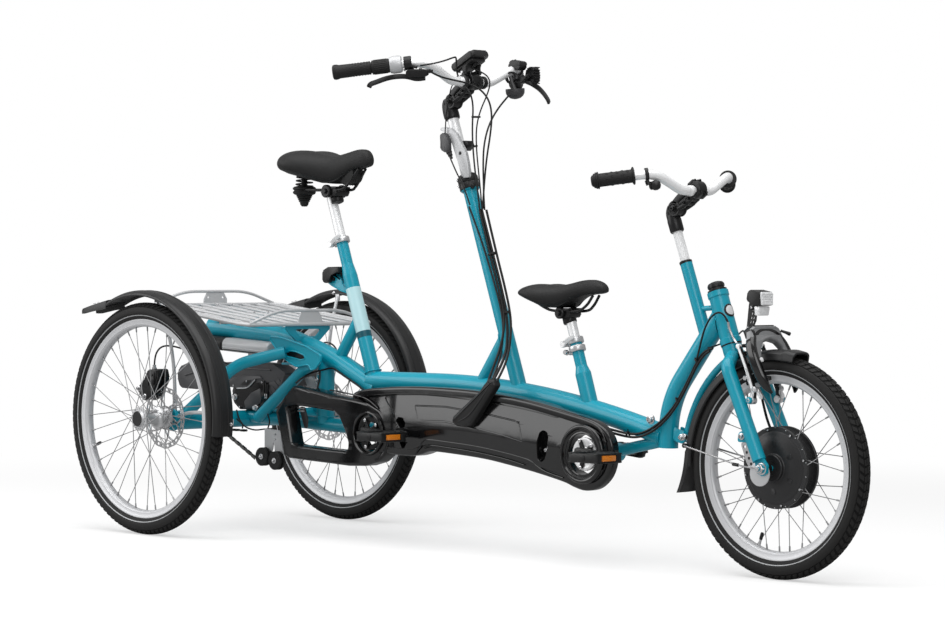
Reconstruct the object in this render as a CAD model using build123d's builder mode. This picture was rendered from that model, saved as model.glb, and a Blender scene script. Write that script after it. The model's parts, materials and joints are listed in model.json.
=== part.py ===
"""A tandem tricycle: two saddles in line, two driven rear wheels and one steered front wheel.

The origin is on the floor under the middle of its length, +X is forward, +Y is to its left and +Z is up.
Places are given from the rear axle's line, x forward, and at() moves them to the origin.
"""

from build123d import *
import os
from math import cos, radians, sin, tan

os.makedirs("parts", exist_ok=True)

# Driving dimensions, in millimetres.
WHEELBASE = 1832
HALF_TRACK = 343.7
REAR_RADIUS = 300
FRONT_RADIUS = 250
TYRE_WIDTH = 47
MIDDLE = (WHEELBASE + FRONT_RADIUS - REAR_RADIUS) / 2

RAKE = 19.7  # lean of the head tube and of the rear rider's steering mast, in degrees
LEAN = tan(radians(RAKE))
STEER_UP = (-sin(radians(RAKE)), 0, cos(radians(RAKE)))
HEAD_BASE = (1690, 522)  # x and z of the head tube's lower end
HEAD_LENGTH = 125
REAR_CRANK = (571, 276)
FRONT_CRANK = (1314, 259)

MAIN_TUBE = 50
DOWN_TUBE = 46
HEAD_TUBE = 45
SEAT_TUBE = 38
MAST_TUBE = 37
STAY_TUBE = 31
RUNNING = 0.05  # radial clearance of every shaft in its hole


def at(x, y, z):
    """A point given from the rear axle's line, in the part's own frame."""
    return Vector(x - MIDDLE, y, z)


def round_tube(points, diameter, bends=None):
    """A round bar through the points, with an arc of each radius in bends at its inner points."""
    with BuildPart() as bar:
        with BuildLine() as path:
            if bends is None:
                Line(*points)
            else:
                FilletPolyline(*points, radius=bends)
        with BuildSketch(Plane(origin=path.line @ 0, z_dir=path.line % 0)):
            Circle(diameter / 2)
        sweep()
    return bar.part


def turned(base, direction, profile):
    """A turned solid on an axis from base: profile gives (radius, distance along the axis) all round."""
    along = Vector(*direction).normalized()
    across = Vector(1, 0, 0) if abs(along.Y) > 0.5 else Vector(0, 1, 0).cross(along)
    with BuildPart() as solid:
        with BuildSketch(Plane(origin=base, x_dir=across, z_dir=across.cross(along))):
            with BuildLine():
                Polyline(*profile, close=True)
            make_face()
        revolve(axis=Axis(base, along))
    return solid.part


def plate(outline, low, high, corner=0):
    """A flat plate standing along the vehicle: outline in x and z, from y = low to y = high."""
    with BuildPart() as sheet:
        with BuildSketch(Plane(origin=(0, high, 0), x_dir=(1, 0, 0), z_dir=(0, -1, 0))) as face:
            with BuildLine():
                Polyline(*[(x - MIDDLE, z) for x, z in outline], close=True)
            make_face()
            if corner:
                fillet(face.vertices(), corner)
        extrude(amount=high - low)
    return sheet.part


def block(x, y, z, edge=0):
    """A box between pairs of coordinates, with its edges rounded."""
    with BuildPart() as solid:
        with Locations(at((x[0] + x[1]) / 2, (y[0] + y[1]) / 2, (z[0] + z[1]) / 2)):
            Box(x[1] - x[0], y[1] - y[0], z[1] - z[0])
        if edge:
            fillet(solid.edges(), edge)
    return solid.part


def mudguard(centre, inner, width, crown, start, stop, skin=3):
    """A rounded wheel cover: crown is its rise across the width, start and stop are angles from +X to +Z."""
    out = (cos(radians(start)), 0, sin(radians(start)))
    half = width / 2
    with BuildPart() as cover:
        with BuildSketch(Plane(origin=centre, x_dir=out, z_dir=(-out[2], 0, out[0]))):
            with BuildLine():
                ThreePointArc((inner, -half), (inner + crown, 0), (inner, half))
                Line((inner, half), (inner + skin, half))
                ThreePointArc((inner + skin, half), (inner + crown + skin, 0), (inner + skin, -half))
                Line((inner + skin, -half), (inner, -half))
            make_face()
        revolve(axis=Axis(centre, (0, -1, 0)), revolution_arc=stop - start)
    return cover.part


def both(part):
    """The part and its mirror image on the other side of the vehicle."""
    return [part, mirror(part, about=Plane.XZ)]


finished = {}


def finish(name, part):
    """Labels a finished piece and writes it to its own file."""
    part.label = name
    finished[name] = part
    export_step(part, f"parts/{name}.step")


# ---------------------------------------------------------------------------------------------
# Frame: the tubes, each cut to meet the one that carries it.

with BuildPart() as main_tube:
    add(round_tube([at(486, 0, 403), at(1075, 0, 407), at(1490, 0, 307)], MAIN_TUBE, [2900]))

with BuildPart() as rear_spine:
    add(round_tube([at(510, 0, 384), at(330, 0, 462), at(150, 0, 512), at(-150, 0, 531)], MAIN_TUBE, [900, 600]))

with BuildPart() as head_tube:
    add(turned(at(HEAD_BASE[0], 0, HEAD_BASE[1]), STEER_UP,
               [(17, 0), (24.5, 0), (24.5, 12), (HEAD_TUBE / 2, 14), (HEAD_TUBE / 2, HEAD_LENGTH - 14),
                (24.5, HEAD_LENGTH - 12), (24.5, HEAD_LENGTH), (17, HEAD_LENGTH)]))

with BuildPart() as head_core:
    add(turned(at(HEAD_BASE[0], 0, HEAD_BASE[1]), STEER_UP,
               [(0, -30), (24.5, -30), (24.5, HEAD_LENGTH + 30), (0, HEAD_LENGTH + 30)]))

with BuildPart() as down_tube:
    add(round_tube([at(1500, 0, 279), at(1503, 0, 385), at(1664, 0, 590)], DOWN_TUBE, [210]))
    add(head_core.part, mode=Mode.SUBTRACT)

with BuildPart() as cut_main_tube:
    add(main_tube.part)
    add(down_tube.part, mode=Mode.SUBTRACT)

with BuildPart() as cut_spine:
    add(rear_spine.part)
    add(cut_main_tube.part, mode=Mode.SUBTRACT)

SEAT_LEAN = 0.36
with BuildPart() as rear_seat_tube:
    seat_axis = (-SEAT_LEAN, 0, 1)
    add(turned(at(500, 0, 401), seat_axis,
               [(0, 0), (19, 0), (19, 287), (15, 318), (15, 378), (0, 378)]))
    add(round_tube([at(362, 0, 455), at(441, 0, 563)], 30))
    add(cut_main_tube.part, mode=Mode.SUBTRACT)
    add(cut_spine.part, mode=Mode.SUBTRACT)

finish("main_tube", cut_main_tube.part)
finish("rear_spine", cut_spine.part)
finish("head_tube", head_tube.part)
finish("down_tube", down_tube.part)
finish("rear_seat_tube", rear_seat_tube.part)

POST_BORE = 14
with BuildPart() as steering_mast:
    mast_axis = (-LEAN, 0, 1)
    add(turned(at(1012, 0, 415), mast_axis, [(0, -22), (18.5, -22), (18.5, 505), (0, 505)]))
    add(turned(at(1012, 0, 415), mast_axis, [(0, 496), (22, 496), (24, 500), (24, 526), (20, 530), (0, 530)]))
    add(turned(at(1012, 0, 415), mast_axis, [(0, 455), (POST_BORE + RUNNING, 455), (POST_BORE + RUNNING, 540),
                                             (0, 540)]), mode=Mode.SUBTRACT)
    add(round_tube([at(883, 0, 405), at(966, 0, 520)], 32))
    add(cut_main_tube.part, mode=Mode.SUBTRACT)
finish("steering_mast", steering_mast.part)

with BuildPart() as front_seat_tube:
    add(turned(at(1255, 0, 363), (-0.33, 0, 1), [(0, 0), (19, 0), (19, 84), (14, 102), (14, 160), (0, 160)]))
    add(cut_main_tube.part, mode=Mode.SUBTRACT)
finish("front_seat_tube", front_seat_tube.part)

with BuildPart() as child_bar_tube:
    add(turned(at(1612, 0, 544), (-0.37, 0, 1), [(0, 0), (14.3, 0), (14.3, 173), (0, 173)]))
    add(round_tube([at(1590, 0, 600), at(1664, 0, 606)], 12))
    add(down_tube.part, mode=Mode.SUBTRACT)
    add(head_core.part, mode=Mode.SUBTRACT)
finish("child_bar_tube", child_bar_tube.part)

SPINDLE = 8.5
with BuildPart() as rear_bracket:
    with Locations(Plane(origin=at(REAR_CRANK[0], 0, REAR_CRANK[1]), z_dir=(0, 1, 0))):
        Cylinder(22, 70)
    add(round_tube([at(0, 0, 297), at(563, 0, 277)], 35))
    add(round_tube([at(574, 0, 290), at(600, 0, 405)], 34))
    with Locations(Plane(origin=at(REAR_CRANK[0], 0, REAR_CRANK[1]), z_dir=(0, 1, 0))):
        Cylinder(SPINDLE + RUNNING, 80, mode=Mode.SUBTRACT)
    add(cut_main_tube.part, mode=Mode.SUBTRACT)

AXLE_TUBE_HEIGHT = 289
with BuildPart() as axle_housing:
    add(turned(at(0, -262, AXLE_TUBE_HEIGHT), (0, 1, 0), [(0, 0), (22, 0), (22, 524), (0, 524)]))
    for side in (-1, 1):
        add(turned(at(0, side * 256, REAR_RADIUS), (0, side, 0),
                   [(0, 0), (26, 0), (26, 12), (7.5, 12), (7.5, 108), (0, 108)]))

with BuildPart() as chain_stay:
    add(rear_bracket.part)
    add(round_tube([at(310, 0, 288), at(312, 0, 466)], 44))
    add(cut_spine.part, mode=Mode.SUBTRACT)
    add(axle_housing.part, mode=Mode.SUBTRACT)
finish("axle_housing", axle_housing.part)
finish("chain_stay", chain_stay.part)

with BuildPart() as front_bracket:
    with Locations(Plane(origin=at(FRONT_CRANK[0], 0, FRONT_CRANK[1]), z_dir=(0, 1, 0))):
        Cylinder(22, 70)
    add(round_tube([at(1320, 0, 260), at(1490, 0, 295)], 27))
    with Locations(Plane(origin=at(FRONT_CRANK[0], 0, FRONT_CRANK[1]), z_dir=(0, 1, 0))):
        Cylinder(SPINDLE + RUNNING, 80, mode=Mode.SUBTRACT)
    add(down_tube.part, mode=Mode.SUBTRACT)
    add(cut_main_tube.part, mode=Mode.SUBTRACT)
finish("front_bracket", front_bracket.part)

with BuildPart() as bracket_box:
    near = [(158, 512), (178, 452), (222, 432), (300, 426), (334, 446), (338, 482), (300, 512), (210, 532)]
    far = [(158, 500), (178, 452), (222, 432), (300, 426), (316, 436), (306, 454), (270, 480), (210, 498)]
    for outline, low in ((near, -60), (far, 54)):
        add(plate(outline, low, low + 6, corner=8))
        add(plate([(212, 452), (290, 452), (296, 464), (284, 476), (218, 476), (206, 464)], low - 1, low + 7,
                  corner=4), mode=Mode.SUBTRACT)
    add(block((196, 312), (-54, 54), (438, 446)))
    add(cut_spine.part, mode=Mode.SUBTRACT)
    add(chain_stay.part, mode=Mode.SUBTRACT)

with BuildPart() as outer_stay:
    add(round_tube([at(228, 68, 472), at(132, 152, 439), at(12, 236, 300)], STAY_TUBE, [130]))
    add(axle_housing.part, mode=Mode.SUBTRACT)
    add(bracket_box.part, mode=Mode.SUBTRACT)
with BuildPart() as inner_stay:
    add(round_tube([at(310, -45, 444), at(268, -41, 425), at(64, -20, 293)], STAY_TUBE, [120]))
    add(chain_stay.part, mode=Mode.SUBTRACT)
    add(bracket_box.part, mode=Mode.SUBTRACT)
with BuildPart() as rear_stays:
    add(both(outer_stay.part.solids().sort_by(SortBy.VOLUME)[-1]))
    add(inner_stay.part.solids().sort_by(SortBy.VOLUME)[-1])
finish("rear_stays", rear_stays.part)

# ---------------------------------------------------------------------------------------------
# Wheels: each turns on its axle with its rim and spokes in one piece and its tyre around them.

SPOKE = 2
SPOKES_A_SIDE = 18


def tyre(centre, radius):
    """A tyre with a flat foot where it sits on the rim."""
    middle = radius - TYRE_WIDTH / 2
    seat = radius - 40.5
    with BuildPart() as ring:
        with BuildSketch(Plane(origin=centre, x_dir=(1, 0, 0), z_dir=(0, 0, 1))):
            with Locations((middle, 0)):
                Circle(TYRE_WIDTH / 2)
            with Locations((seat - 10, 0)):
                Rectangle(20, TYRE_WIDTH, mode=Mode.SUBTRACT)
        revolve(axis=Axis(centre, (0, 1, 0)))
    return ring.part


def spoked_rim(centre, radius, hub_radius, flanges, lead):
    """A rim with spokes down to the hub's flanges: each leaves its flange lead degrees from where it ends."""
    seat = radius - 40.5
    inner = seat - 18
    with BuildPart() as ring:
        with BuildSketch(Plane(origin=centre, x_dir=(1, 0, 0), z_dir=(0, 0, 1))):
            with BuildLine():
                Polyline((seat, -15), (seat, 15), (seat - 10, 14), (inner, 9), (inner, -9), (seat - 10, -14),
                         close=True)
            make_face()
        revolve(axis=Axis(centre, (0, 1, 0)))
        for flange, shift in ((flanges[0], 0), (flanges[1], 0.5)):
            for number in range(SPOKES_A_SIDE):
                turn = (-1) ** number
                outer = radians(360 * (number + shift) / SPOKES_A_SIDE)
                start = outer + turn * radians(lead)
                low = centre + Vector(hub_radius * cos(start), flange + turn * 1.6, hub_radius * sin(start))
                high = centre + Vector((inner + 3) * cos(outer), turn * 2, (inner + 3) * sin(outer))
                reach = high - low
                with Locations(Plane(origin=low, z_dir=reach)):
                    Cylinder(SPOKE / 2, reach.length, align=(Align.CENTER, Align.CENTER, Align.MIN))
    return ring.part


for side, hand in ((-1, "right"), (1, "left")):
    wheel_centre = at(0, side * HALF_TRACK, REAR_RADIUS)
    finish(f"{hand}_tyre", tyre(wheel_centre, REAR_RADIUS))
    with BuildPart() as rear_wheel:
        add(spoked_rim(wheel_centre, REAR_RADIUS, 27, (side * 23, -side * 37), 58))
        add(turned(at(0, 0, REAR_RADIUS), (0, side, 0),
                   [(7.5 + RUNNING, 281), (80, 281), (80, 283), (30, 283), (20, 290), (20, 304), (29.5, 304),
                    (29.5, 308.5), (16, 312), (20, 362), (29.5, 364.5), (29.5, 369), (18, 369), (18, 375), (0, 375),
                    (0, 367), (7.5 + RUNNING, 367)]))
    finish(f"{hand}_wheel", rear_wheel.part)

front_centre = at(WHEELBASE, 0, FRONT_RADIUS)
finish("front_tyre", tyre(front_centre, FRONT_RADIUS))
MOTOR_MIDDLE = 6
finish("front_rim", spoked_rim(front_centre, FRONT_RADIUS, 93.5, (MOTOR_MIDDLE - 18, MOTOR_MIDDLE + 18), 14))
with BuildPart() as hub_motor:
    add(turned(at(WHEELBASE, MOTOR_MIDDLE, FRONT_RADIUS), (0, 1, 0),
               [(6 + RUNNING, -36), (30, -36), (32, -29), (72, -26), (80, -21), (92, -21), (92, -15), (84, -14),
                (84, 14), (92, 15), (92, 21), (80, 21), (72, 26), (32, 28), (6 + RUNNING, 28)]))
finish("hub_motor", hub_motor.part)

# ---------------------------------------------------------------------------------------------
# Fork: turns in the head tube and carries the front wheel, its cover, lamp, lock and brake.


def on_steering(up, forward=0, y=0):
    """A point on the steering axis, up along it from the head tube's base and forward square to it."""
    angle = radians(RAKE)
    return at(HEAD_BASE[0] - up * sin(angle) + forward * cos(angle), y,
              HEAD_BASE[1] + up * cos(angle) + forward * sin(angle))


FORK_LEG = 58
FORK_TUBE = 31
with BuildPart() as fork:
    add(turned(on_steering(0), STEER_UP, [(0, -34), (21, -34), (23, -20), (23, -0.6), (17 - RUNNING, -0.6),
                                          (17 - RUNNING, HEAD_LENGTH + 0.6), (0, HEAD_LENGTH + 0.6)]))
    for side in (-1, 1):
        add(round_tube([at(1703, side * 8, 498), at(1724, side * 54, 474), at(1823, side * FORK_LEG, 268)],
                       FORK_TUBE, [28]))
        foot = [(1806, 286), (1822, 290), (1848, 258), (1846, 240), (1832, 233), (1818, 240)]
        low = side * FORK_LEG - 3
        add(plate(foot, low, low + 6, corner=4))
    add(turned(at(WHEELBASE, -76, FRONT_RADIUS), (0, 1, 0),
               [(0, 0), (6, 0), (6, 9), (11, 9), (11, 17), (6, 17), (6, 135), (11, 135), (11, 143), (6, 143),
                (6, 152), (0, 152)]))
    add(tyre(front_centre, FRONT_RADIUS + 6), mode=Mode.SUBTRACT)
finish("fork", fork.part)

with BuildPart() as steering_cap:
    add(turned(on_steering(HEAD_LENGTH + 0.6), STEER_UP, [(0, 0), (21, 0), (21, 8), (16, 12), (15, 24), (0, 24)]))
finish("steering_cap", steering_cap.part)

ARM_RADIUS = 281
with BuildPart() as steering_arm:
    with BuildLine(Plane(origin=front_centre, x_dir=(1, 0, 0), z_dir=(0, -1, 0))) as arm_line:
        CenterArc((0, 0), ARM_RADIUS, 119, 48)
    with BuildSketch(Plane(origin=arm_line.line @ 0, z_dir=arm_line.line % 0)):
        Circle(8)
    sweep()
    add(turned(at(1558, -10, 307), (0, 1, 0), [(0, 0), (9, 0), (9, 20), (0, 20)]))
    add(fork.part, mode=Mode.SUBTRACT)
finish("steering_arm", steering_arm.part)

with BuildPart() as front_mudguard:
    add(mudguard(front_centre, 241, 58, 18, 76, 196))
    add(fork.part, mode=Mode.SUBTRACT)
finish("front_mudguard", front_mudguard.part)

with BuildPart() as headlamp:
    add(plate([(1741, 560), (1757, 556), (1775, 596), (1772, 622), (1758, 624), (1756, 600)], -13, -9))
    add(plate([(1754, 645), (1792, 640), (1796, 606), (1785, 587), (1769, 587), (1764, 604), (1750, 616)], -22, 22,
              corner=4))
finish("headlamp", headlamp.part)

LOCK_LEAN = radians(25)
with BuildPart() as ring_lock:
    slant = Plane(origin=at(1806, 0, 503), x_dir=(0, 1, 0), z_dir=(cos(LOCK_LEAN), 0, sin(LOCK_LEAN)))
    with BuildSketch(slant):
        Circle(56)
        Circle(37, mode=Mode.SUBTRACT)
        with Locations((0, -60)):
            Rectangle(76, 90, mode=Mode.SUBTRACT)
        with Locations((-46, -47), (46, -47)):
            Rectangle(16, 94)
        with Locations((0, 48)):
            Rectangle(66, 30)
    extrude(amount=12, both=True)
    add(fork.part, mode=Mode.SUBTRACT)
    add(front_mudguard.part, mode=Mode.SUBTRACT)
    add(headlamp.part, mode=Mode.SUBTRACT)
finish("ring_lock", ring_lock.part)

PAD = [(194, 92), (194, 110), (206, 110), (206, 92)]  # radius from the wheel's axle and angle, in degrees
with BuildPart() as brake_arm:
    add(round_tube([at(1791, 42, 398), at(1750, 42, 510)], 11))
    add(round_tube([at(1791, 42, 400), at(1764, 54, 396)], 12))
    add(round_tube([at(1773, 26, 448), at(1773, 42, 448)], 8))
    add(plate([(WHEELBASE + r * cos(radians(a)), FRONT_RADIUS + r * sin(radians(a))) for r, a in PAD], 20, 28))
    add(fork.part, mode=Mode.SUBTRACT)
with BuildPart() as front_brake:
    add(both(brake_arm.part))
finish("front_brake", front_brake.part)

# ---------------------------------------------------------------------------------------------
# Cranks: each spindle turns in its bracket, and each pedal turns on its own spindle.


def crank_set(centre, length, ring):
    """A spindle with a ring behind the near arm, the near arm forward and the far arm back."""
    x, z = centre
    with BuildPart() as cranks:
        add(turned(at(x, -104, z), (0, 1, 0), [(0, 0), (14, 0), (14, 12), (SPINDLE, 14), (ring, 20), (ring, 26),
                                               (SPINDLE, 30), (SPINDLE, 200), (14, 202), (14, 214), (0, 214)]))
        for side, way in ((-1, 1), (1, -1)):
            tip = x + way * length
            low = -104 if side < 0 else 98
            add(plate([(x - way * 14, z - 12), (tip, z - 10), (tip + way * 11, z), (tip, z + 10),
                       (x - way * 14, z + 12)], low, low + 12))
            add(turned(at(tip, side * 104, z), (0, side, 0), [(0, 0), (6, 0), (6, 90), (0, 90)]))
    return cranks.part


def pedal(centre, length, side):
    """A flat pedal with an open cage, bored for its spindle."""
    x = centre[0] - side * length
    with BuildPart() as cage:
        with Locations(at(x, side * 157, centre[1])):
            Box(92, 84, 24)
        with Locations(at(x - 28, side * 157, centre[1]), at(x + 28, side * 157, centre[1])):
            Box(20, 64, 30, mode=Mode.SUBTRACT)
        with Locations(Plane(origin=at(x, side * 150, centre[1]), z_dir=(0, 1, 0))):
            Cylinder(6 + RUNNING, 110, mode=Mode.SUBTRACT)
    return cage.part


REAR_ARM = 122
FRONT_ARM = 102
for name, centre, length, ring in (("rear", REAR_CRANK, REAR_ARM, 40), ("front", FRONT_CRANK, FRONT_ARM, 38)):
    finish(f"{name}_crank", crank_set(centre, length, ring))
    for side, hand in ((-1, "right"), (1, "left")):
        finish(f"{name}_{hand}_pedal", pedal(centre, length, side))

# ---------------------------------------------------------------------------------------------
# Chaincases, drive unit and tensioner.

CASE_OUTER = -86
CASE_INNER = -42
with BuildPart() as rear_chaincase:
    outline = [(282, 390), (490, 362), (640, 345), (652, 279), (640, 215), (560, 196), (250, 199), (222, 282),
               (209, 322)]
    add(plate(outline, CASE_OUTER, CASE_INNER, corner=12))
    with Locations(Plane(origin=at(REAR_CRANK[0], (CASE_OUTER + CASE_INNER) / 2, REAR_CRANK[1]), z_dir=(0, 1, 0))):
        Cylinder(84, CASE_INNER - CASE_OUTER)
        Cylinder(48, 100, mode=Mode.SUBTRACT)
    add(plate([(250, 331), (436, 332), (478, 296), (490, 252), (484, 234), (274, 234)], CASE_OUTER - 5,
              CASE_INNER + 5, corner=10), mode=Mode.SUBTRACT)
with BuildPart() as long_chaincase:
    outline = [(600, 384), (680, 396), (760, 398), (850, 395), (950, 388), (1050, 376), (1150, 361), (1250, 343),
               (1314, 345), (1400, 259), (1314, 173), (1250, 187), (1150, 204), (1050, 218), (950, 231),
               (850, 238), (765, 241), (740, 226), (640, 228), (610, 279)]
    add(plate(outline, CASE_OUTER, CASE_INNER, corner=3))
    front_axis = Plane(origin=at(FRONT_CRANK[0], (CASE_OUTER + CASE_INNER) / 2, FRONT_CRANK[1]), z_dir=(0, 1, 0))
    with Locations(front_axis):
        Cylinder(86, CASE_INNER - CASE_OUTER)
        Cylinder(46, 100, mode=Mode.SUBTRACT)
    add(plate([(1180, 240), (1198, 240), (1206, 262), (1206, 300), (1196, 312), (1180, 306), (1176, 270)],
              CASE_OUTER - 5, CASE_INNER + 5, corner=6), mode=Mode.SUBTRACT)
    add(block((1200, 1420), (-63, CASE_INNER + 5), (160, 360)), mode=Mode.SUBTRACT)
    add(rear_chaincase.part, mode=Mode.SUBTRACT)
finish("rear_chaincase", rear_chaincase.part - rear_stays.part)
finish("long_chaincase", long_chaincase.part.solids().sort_by(SortBy.VOLUME)[-1])

with BuildPart() as cable_guide:
    add(plate([(1012, 428), (1032, 418), (1000, 372), (968, 332), (946, 307), (905, 307), (884, 320)], -110,
              CASE_OUTER - 0.3, corner=5))
finish("cable_guide", cable_guide.part)

with BuildPart() as gear_unit:
    add(plate([(-42, 356), (-28, 388), (31, 396), (60, 400), (98, 392), (112, 380), (108, 336), (79, 316),
               (-8, 313), (-33, 331)], -25, 60, corner=8))
    add(plate([(60, 396), (117, 396), (146, 412), (183, 419), (127, 340), (100, 340)], -25, 60, corner=6))
    add(plate([(-273, 393), (-227, 432), (-8, 438), (126, 437), (183, 413), (108, 388), (-48, 386), (-187, 360),
               (-258, 364)], -25, 25, corner=6))
    add(chain_stay.part, mode=Mode.SUBTRACT)
    add(axle_housing.part, mode=Mode.SUBTRACT)
    add(rear_stays.part, mode=Mode.SUBTRACT)
    add(bracket_box.part, mode=Mode.SUBTRACT)
finish("gear_unit", gear_unit.part.solids().sort_by(SortBy.VOLUME)[-1])

with BuildPart() as battery:
    add(plate([(-150, 474), (-150, 509), (142, 494), (142, 459)], -56, 56))
    fillet(battery.edges(), 12)
    add(rear_spine.part, mode=Mode.SUBTRACT)
    add(bracket_box.part, mode=Mode.SUBTRACT)
finish("battery", battery.part)

with BuildPart() as chain_tensioner:
    add(plate([(160, 262), (222, 262), (234, 180), (210, 172), (196, 215), (160, 215)], -62, -58))
    for x, z in ((148, 197), (200, 189)):
        with Locations(Plane(origin=at(x, -72, z), z_dir=(0, 1, 0))):
            Cylinder(26, 14)
        with Locations(Plane(origin=at(x, -66, z), z_dir=(0, 1, 0))):
            Cylinder(8, 24)
    add(plate([(138, 206), (210, 200), (210, 180), (138, 188)], -64, -61))
finish("chain_tensioner", chain_tensioner.part)

# ---------------------------------------------------------------------------------------------
# Rack, rear covers and brakes.

RACK_FRONT = (248, 544)
RACK_REAR = (-140, 590)
RACK_HALF = 222
LAMP_HOLE_RISE = 20
LAMP_HOLE_RADIUS = 3
rack_slope = (RACK_REAR[1] - RACK_FRONT[1]) / (RACK_FRONT[0] - RACK_REAR[0])


def on_rack(x, y, rise=0):
    """A point above the rack's sloping deck."""
    return at(x, y, RACK_FRONT[1] + (RACK_FRONT[0] - x) * rack_slope + rise)


with BuildPart() as rack:
    corners = [on_rack(50, -RACK_HALF), on_rack(RACK_REAR[0], -RACK_HALF), on_rack(RACK_REAR[0], RACK_HALF),
               on_rack(RACK_FRONT[0], RACK_HALF), on_rack(RACK_FRONT[0], -RACK_HALF), on_rack(45, -RACK_HALF)]
    add(round_tube(corners, 10, [28, 28, 28, 28]))
    rack_length = (on_rack(RACK_REAR[0], 0) - on_rack(RACK_FRONT[0], 0)).length
    for number in range(-4, 5):
        middle = (on_rack(RACK_REAR[0], number * 48) + on_rack(RACK_FRONT[0], number * 48)) / 2
        with BuildSketch(Plane(origin=middle, x_dir=(1, 0, -rack_slope), z_dir=(rack_slope, 0, 1))):
            Rectangle(rack_length, 14)
        extrude(amount=3, both=True)
    for x in (-60, 150):
        add(round_tube([on_rack(x, -RACK_HALF, -7), on_rack(x, RACK_HALF, -7)], 8))
    for x in (RACK_REAR[0], RACK_FRONT[0]):
        add(round_tube([on_rack(x, -205, 3), on_rack(x, -110, 36), on_rack(x, 110, 36), on_rack(x, 205, 3)], 8,
                       [260, 260]))
    for x, y_holes in ((RACK_REAR[0], 25), (RACK_FRONT[0], 0)):
        base = on_rack(x, 0)
        with BuildSketch(Plane(origin=base, x_dir=(0, -1, 0), z_dir=(-1, 0, 0))):
            with BuildLine():
                Polyline((-40, 2), (40, 2), (40, 16), (26, 37), (-26, 37), (-40, 16), close=True)
            make_face()
            if y_holes:
                with Locations((-y_holes, LAMP_HOLE_RISE), (y_holes, LAMP_HOLE_RISE)):
                    Circle(LAMP_HOLE_RADIUS, mode=Mode.SUBTRACT)
        extrude(amount=2, both=True)
finish("rack", rack.part)

with BuildPart() as rack_bracket:
    add(bracket_box.part)
    with BuildSketch(Plane(origin=at(240, 0, 500), x_dir=(0, -1, 0), z_dir=(-1, 0, 0))):
        with BuildLine():
            Polyline((-75, 38), (75, 38), (75, 32), (36, -4), (-36, -4), (-75, 32), close=True)
        make_face()
    extrude(amount=6)
    for x in (-110, 40):
        add(block((x, x + 20), (-30, 30), (545, 562)))
    add(rear_spine.part, mode=Mode.SUBTRACT)
    add(rack.part, mode=Mode.SUBTRACT)
finish("rack_brackets", rack_bracket.part)

with BuildPart() as rear_mudguard:
    add(mudguard(at(-4, HALF_TRACK, 308), 311, 62, 8, -7, 117))
    add(plate([(-140, 606), (-168, 594), (-250, 578), (-250, 572), (-168, 584), (-140, 590)],
              HALF_TRACK - 30, HALF_TRACK + 30))
with BuildPart() as rear_mudguards:
    add(both(rear_mudguard.part))
finish("rear_mudguards", rear_mudguards.part)

with BuildPart() as mudguard_stay:
    add(round_tube([at(12, 258, 300), at(16, 268, 430), at(4, HALF_TRACK - 28, 612)], 9, [200]))
    add(round_tube([at(12, 258, 300), at(140, 266, 318), at(306, HALF_TRACK - 28, 300)], 9, [200]))
    add(axle_housing.part, mode=Mode.SUBTRACT)
    add(rear_mudguard.part, mode=Mode.SUBTRACT)
    add(rear_stays.part, mode=Mode.SUBTRACT)
with BuildPart() as mudguard_stays:
    add(both(mudguard_stay.part))
finish("mudguard_stays", mudguard_stays.part)

with BuildPart() as caliper:
    add(plate([(-98, 372), (-60, 340), (-36, 352), (-4, 400), (-10, 428), (-48, 424), (-60, 394)], 262, 304,
              corner=3))
    with Locations(Plane(origin=at(0, 282, 300), z_dir=(0, 1, 0))):
        Cylinder(84, 8, mode=Mode.SUBTRACT)
        Cylinder(40, 80, mode=Mode.SUBTRACT)
    add(mudguard_stays.part, mode=Mode.SUBTRACT)
with BuildPart() as brake_calipers:
    add(both(caliper.part))
finish("brake_calipers", brake_calipers.part)

# ---------------------------------------------------------------------------------------------
# Saddles, their posts and the two handlebars.


def saddle(rear_x, nose_x, half_width, base, top):
    """A plain closed body of the saddle's outline, with rounded edges."""
    length = nose_x - rear_x
    with BuildPart() as seat:
        with BuildSketch(Plane.XY.offset(base)):
            with BuildLine():
                Spline(at(rear_x, 0, 0), at(rear_x + 0.1 * length, half_width, 0),
                       at(rear_x + 0.5 * length, 0.42 * half_width, 0), at(nose_x - 8, 0.17 * half_width, 0),
                       at(nose_x, 0, 0), at(nose_x - 8, -0.17 * half_width, 0),
                       at(rear_x + 0.5 * length, -0.42 * half_width, 0),
                       at(rear_x + 0.1 * length, -half_width, 0), periodic=True)
            make_face()
        extrude(amount=top - base)
    return seat.part


finish("rear_saddle", saddle(203, 484, 104, 924, 990))
finish("front_saddle", saddle(1064, 1304, 79, 606, 662))

with BuildPart() as rear_seatpost:
    post_base = at(500 - 0.36 * 356, 0, 757)
    add(turned(post_base, (-SEAT_LEAN, 0, 1), [(0, 0), (13, 0), (13, 118), (0, 118)]))
    add(turned(post_base, (-SEAT_LEAN, 0, 1), [(0, 0), (20, 0), (20, 14), (0, 14)]))
    add(rear_seat_tube.part, mode=Mode.SUBTRACT)
with BuildPart() as rear_saddle_clamp:
    add(block((308, 372), (-24, 24), (880, 900), 4))
    for side in (-1, 1):
        add(round_tube([at(226, side * 16, 893), at(385, side * 20, 893), at(452, side * 12, 930)], 8, [60]))
    add(turned(at(224, 0, 850), (0, 0, 1), [(0, 0), (11, 0), (21, 26), (29, 34), (29, 50), (22, 76), (0, 76)]))
    add(rear_seatpost.part, mode=Mode.SUBTRACT)
    add(finished["rear_saddle"], mode=Mode.SUBTRACT)

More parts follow.
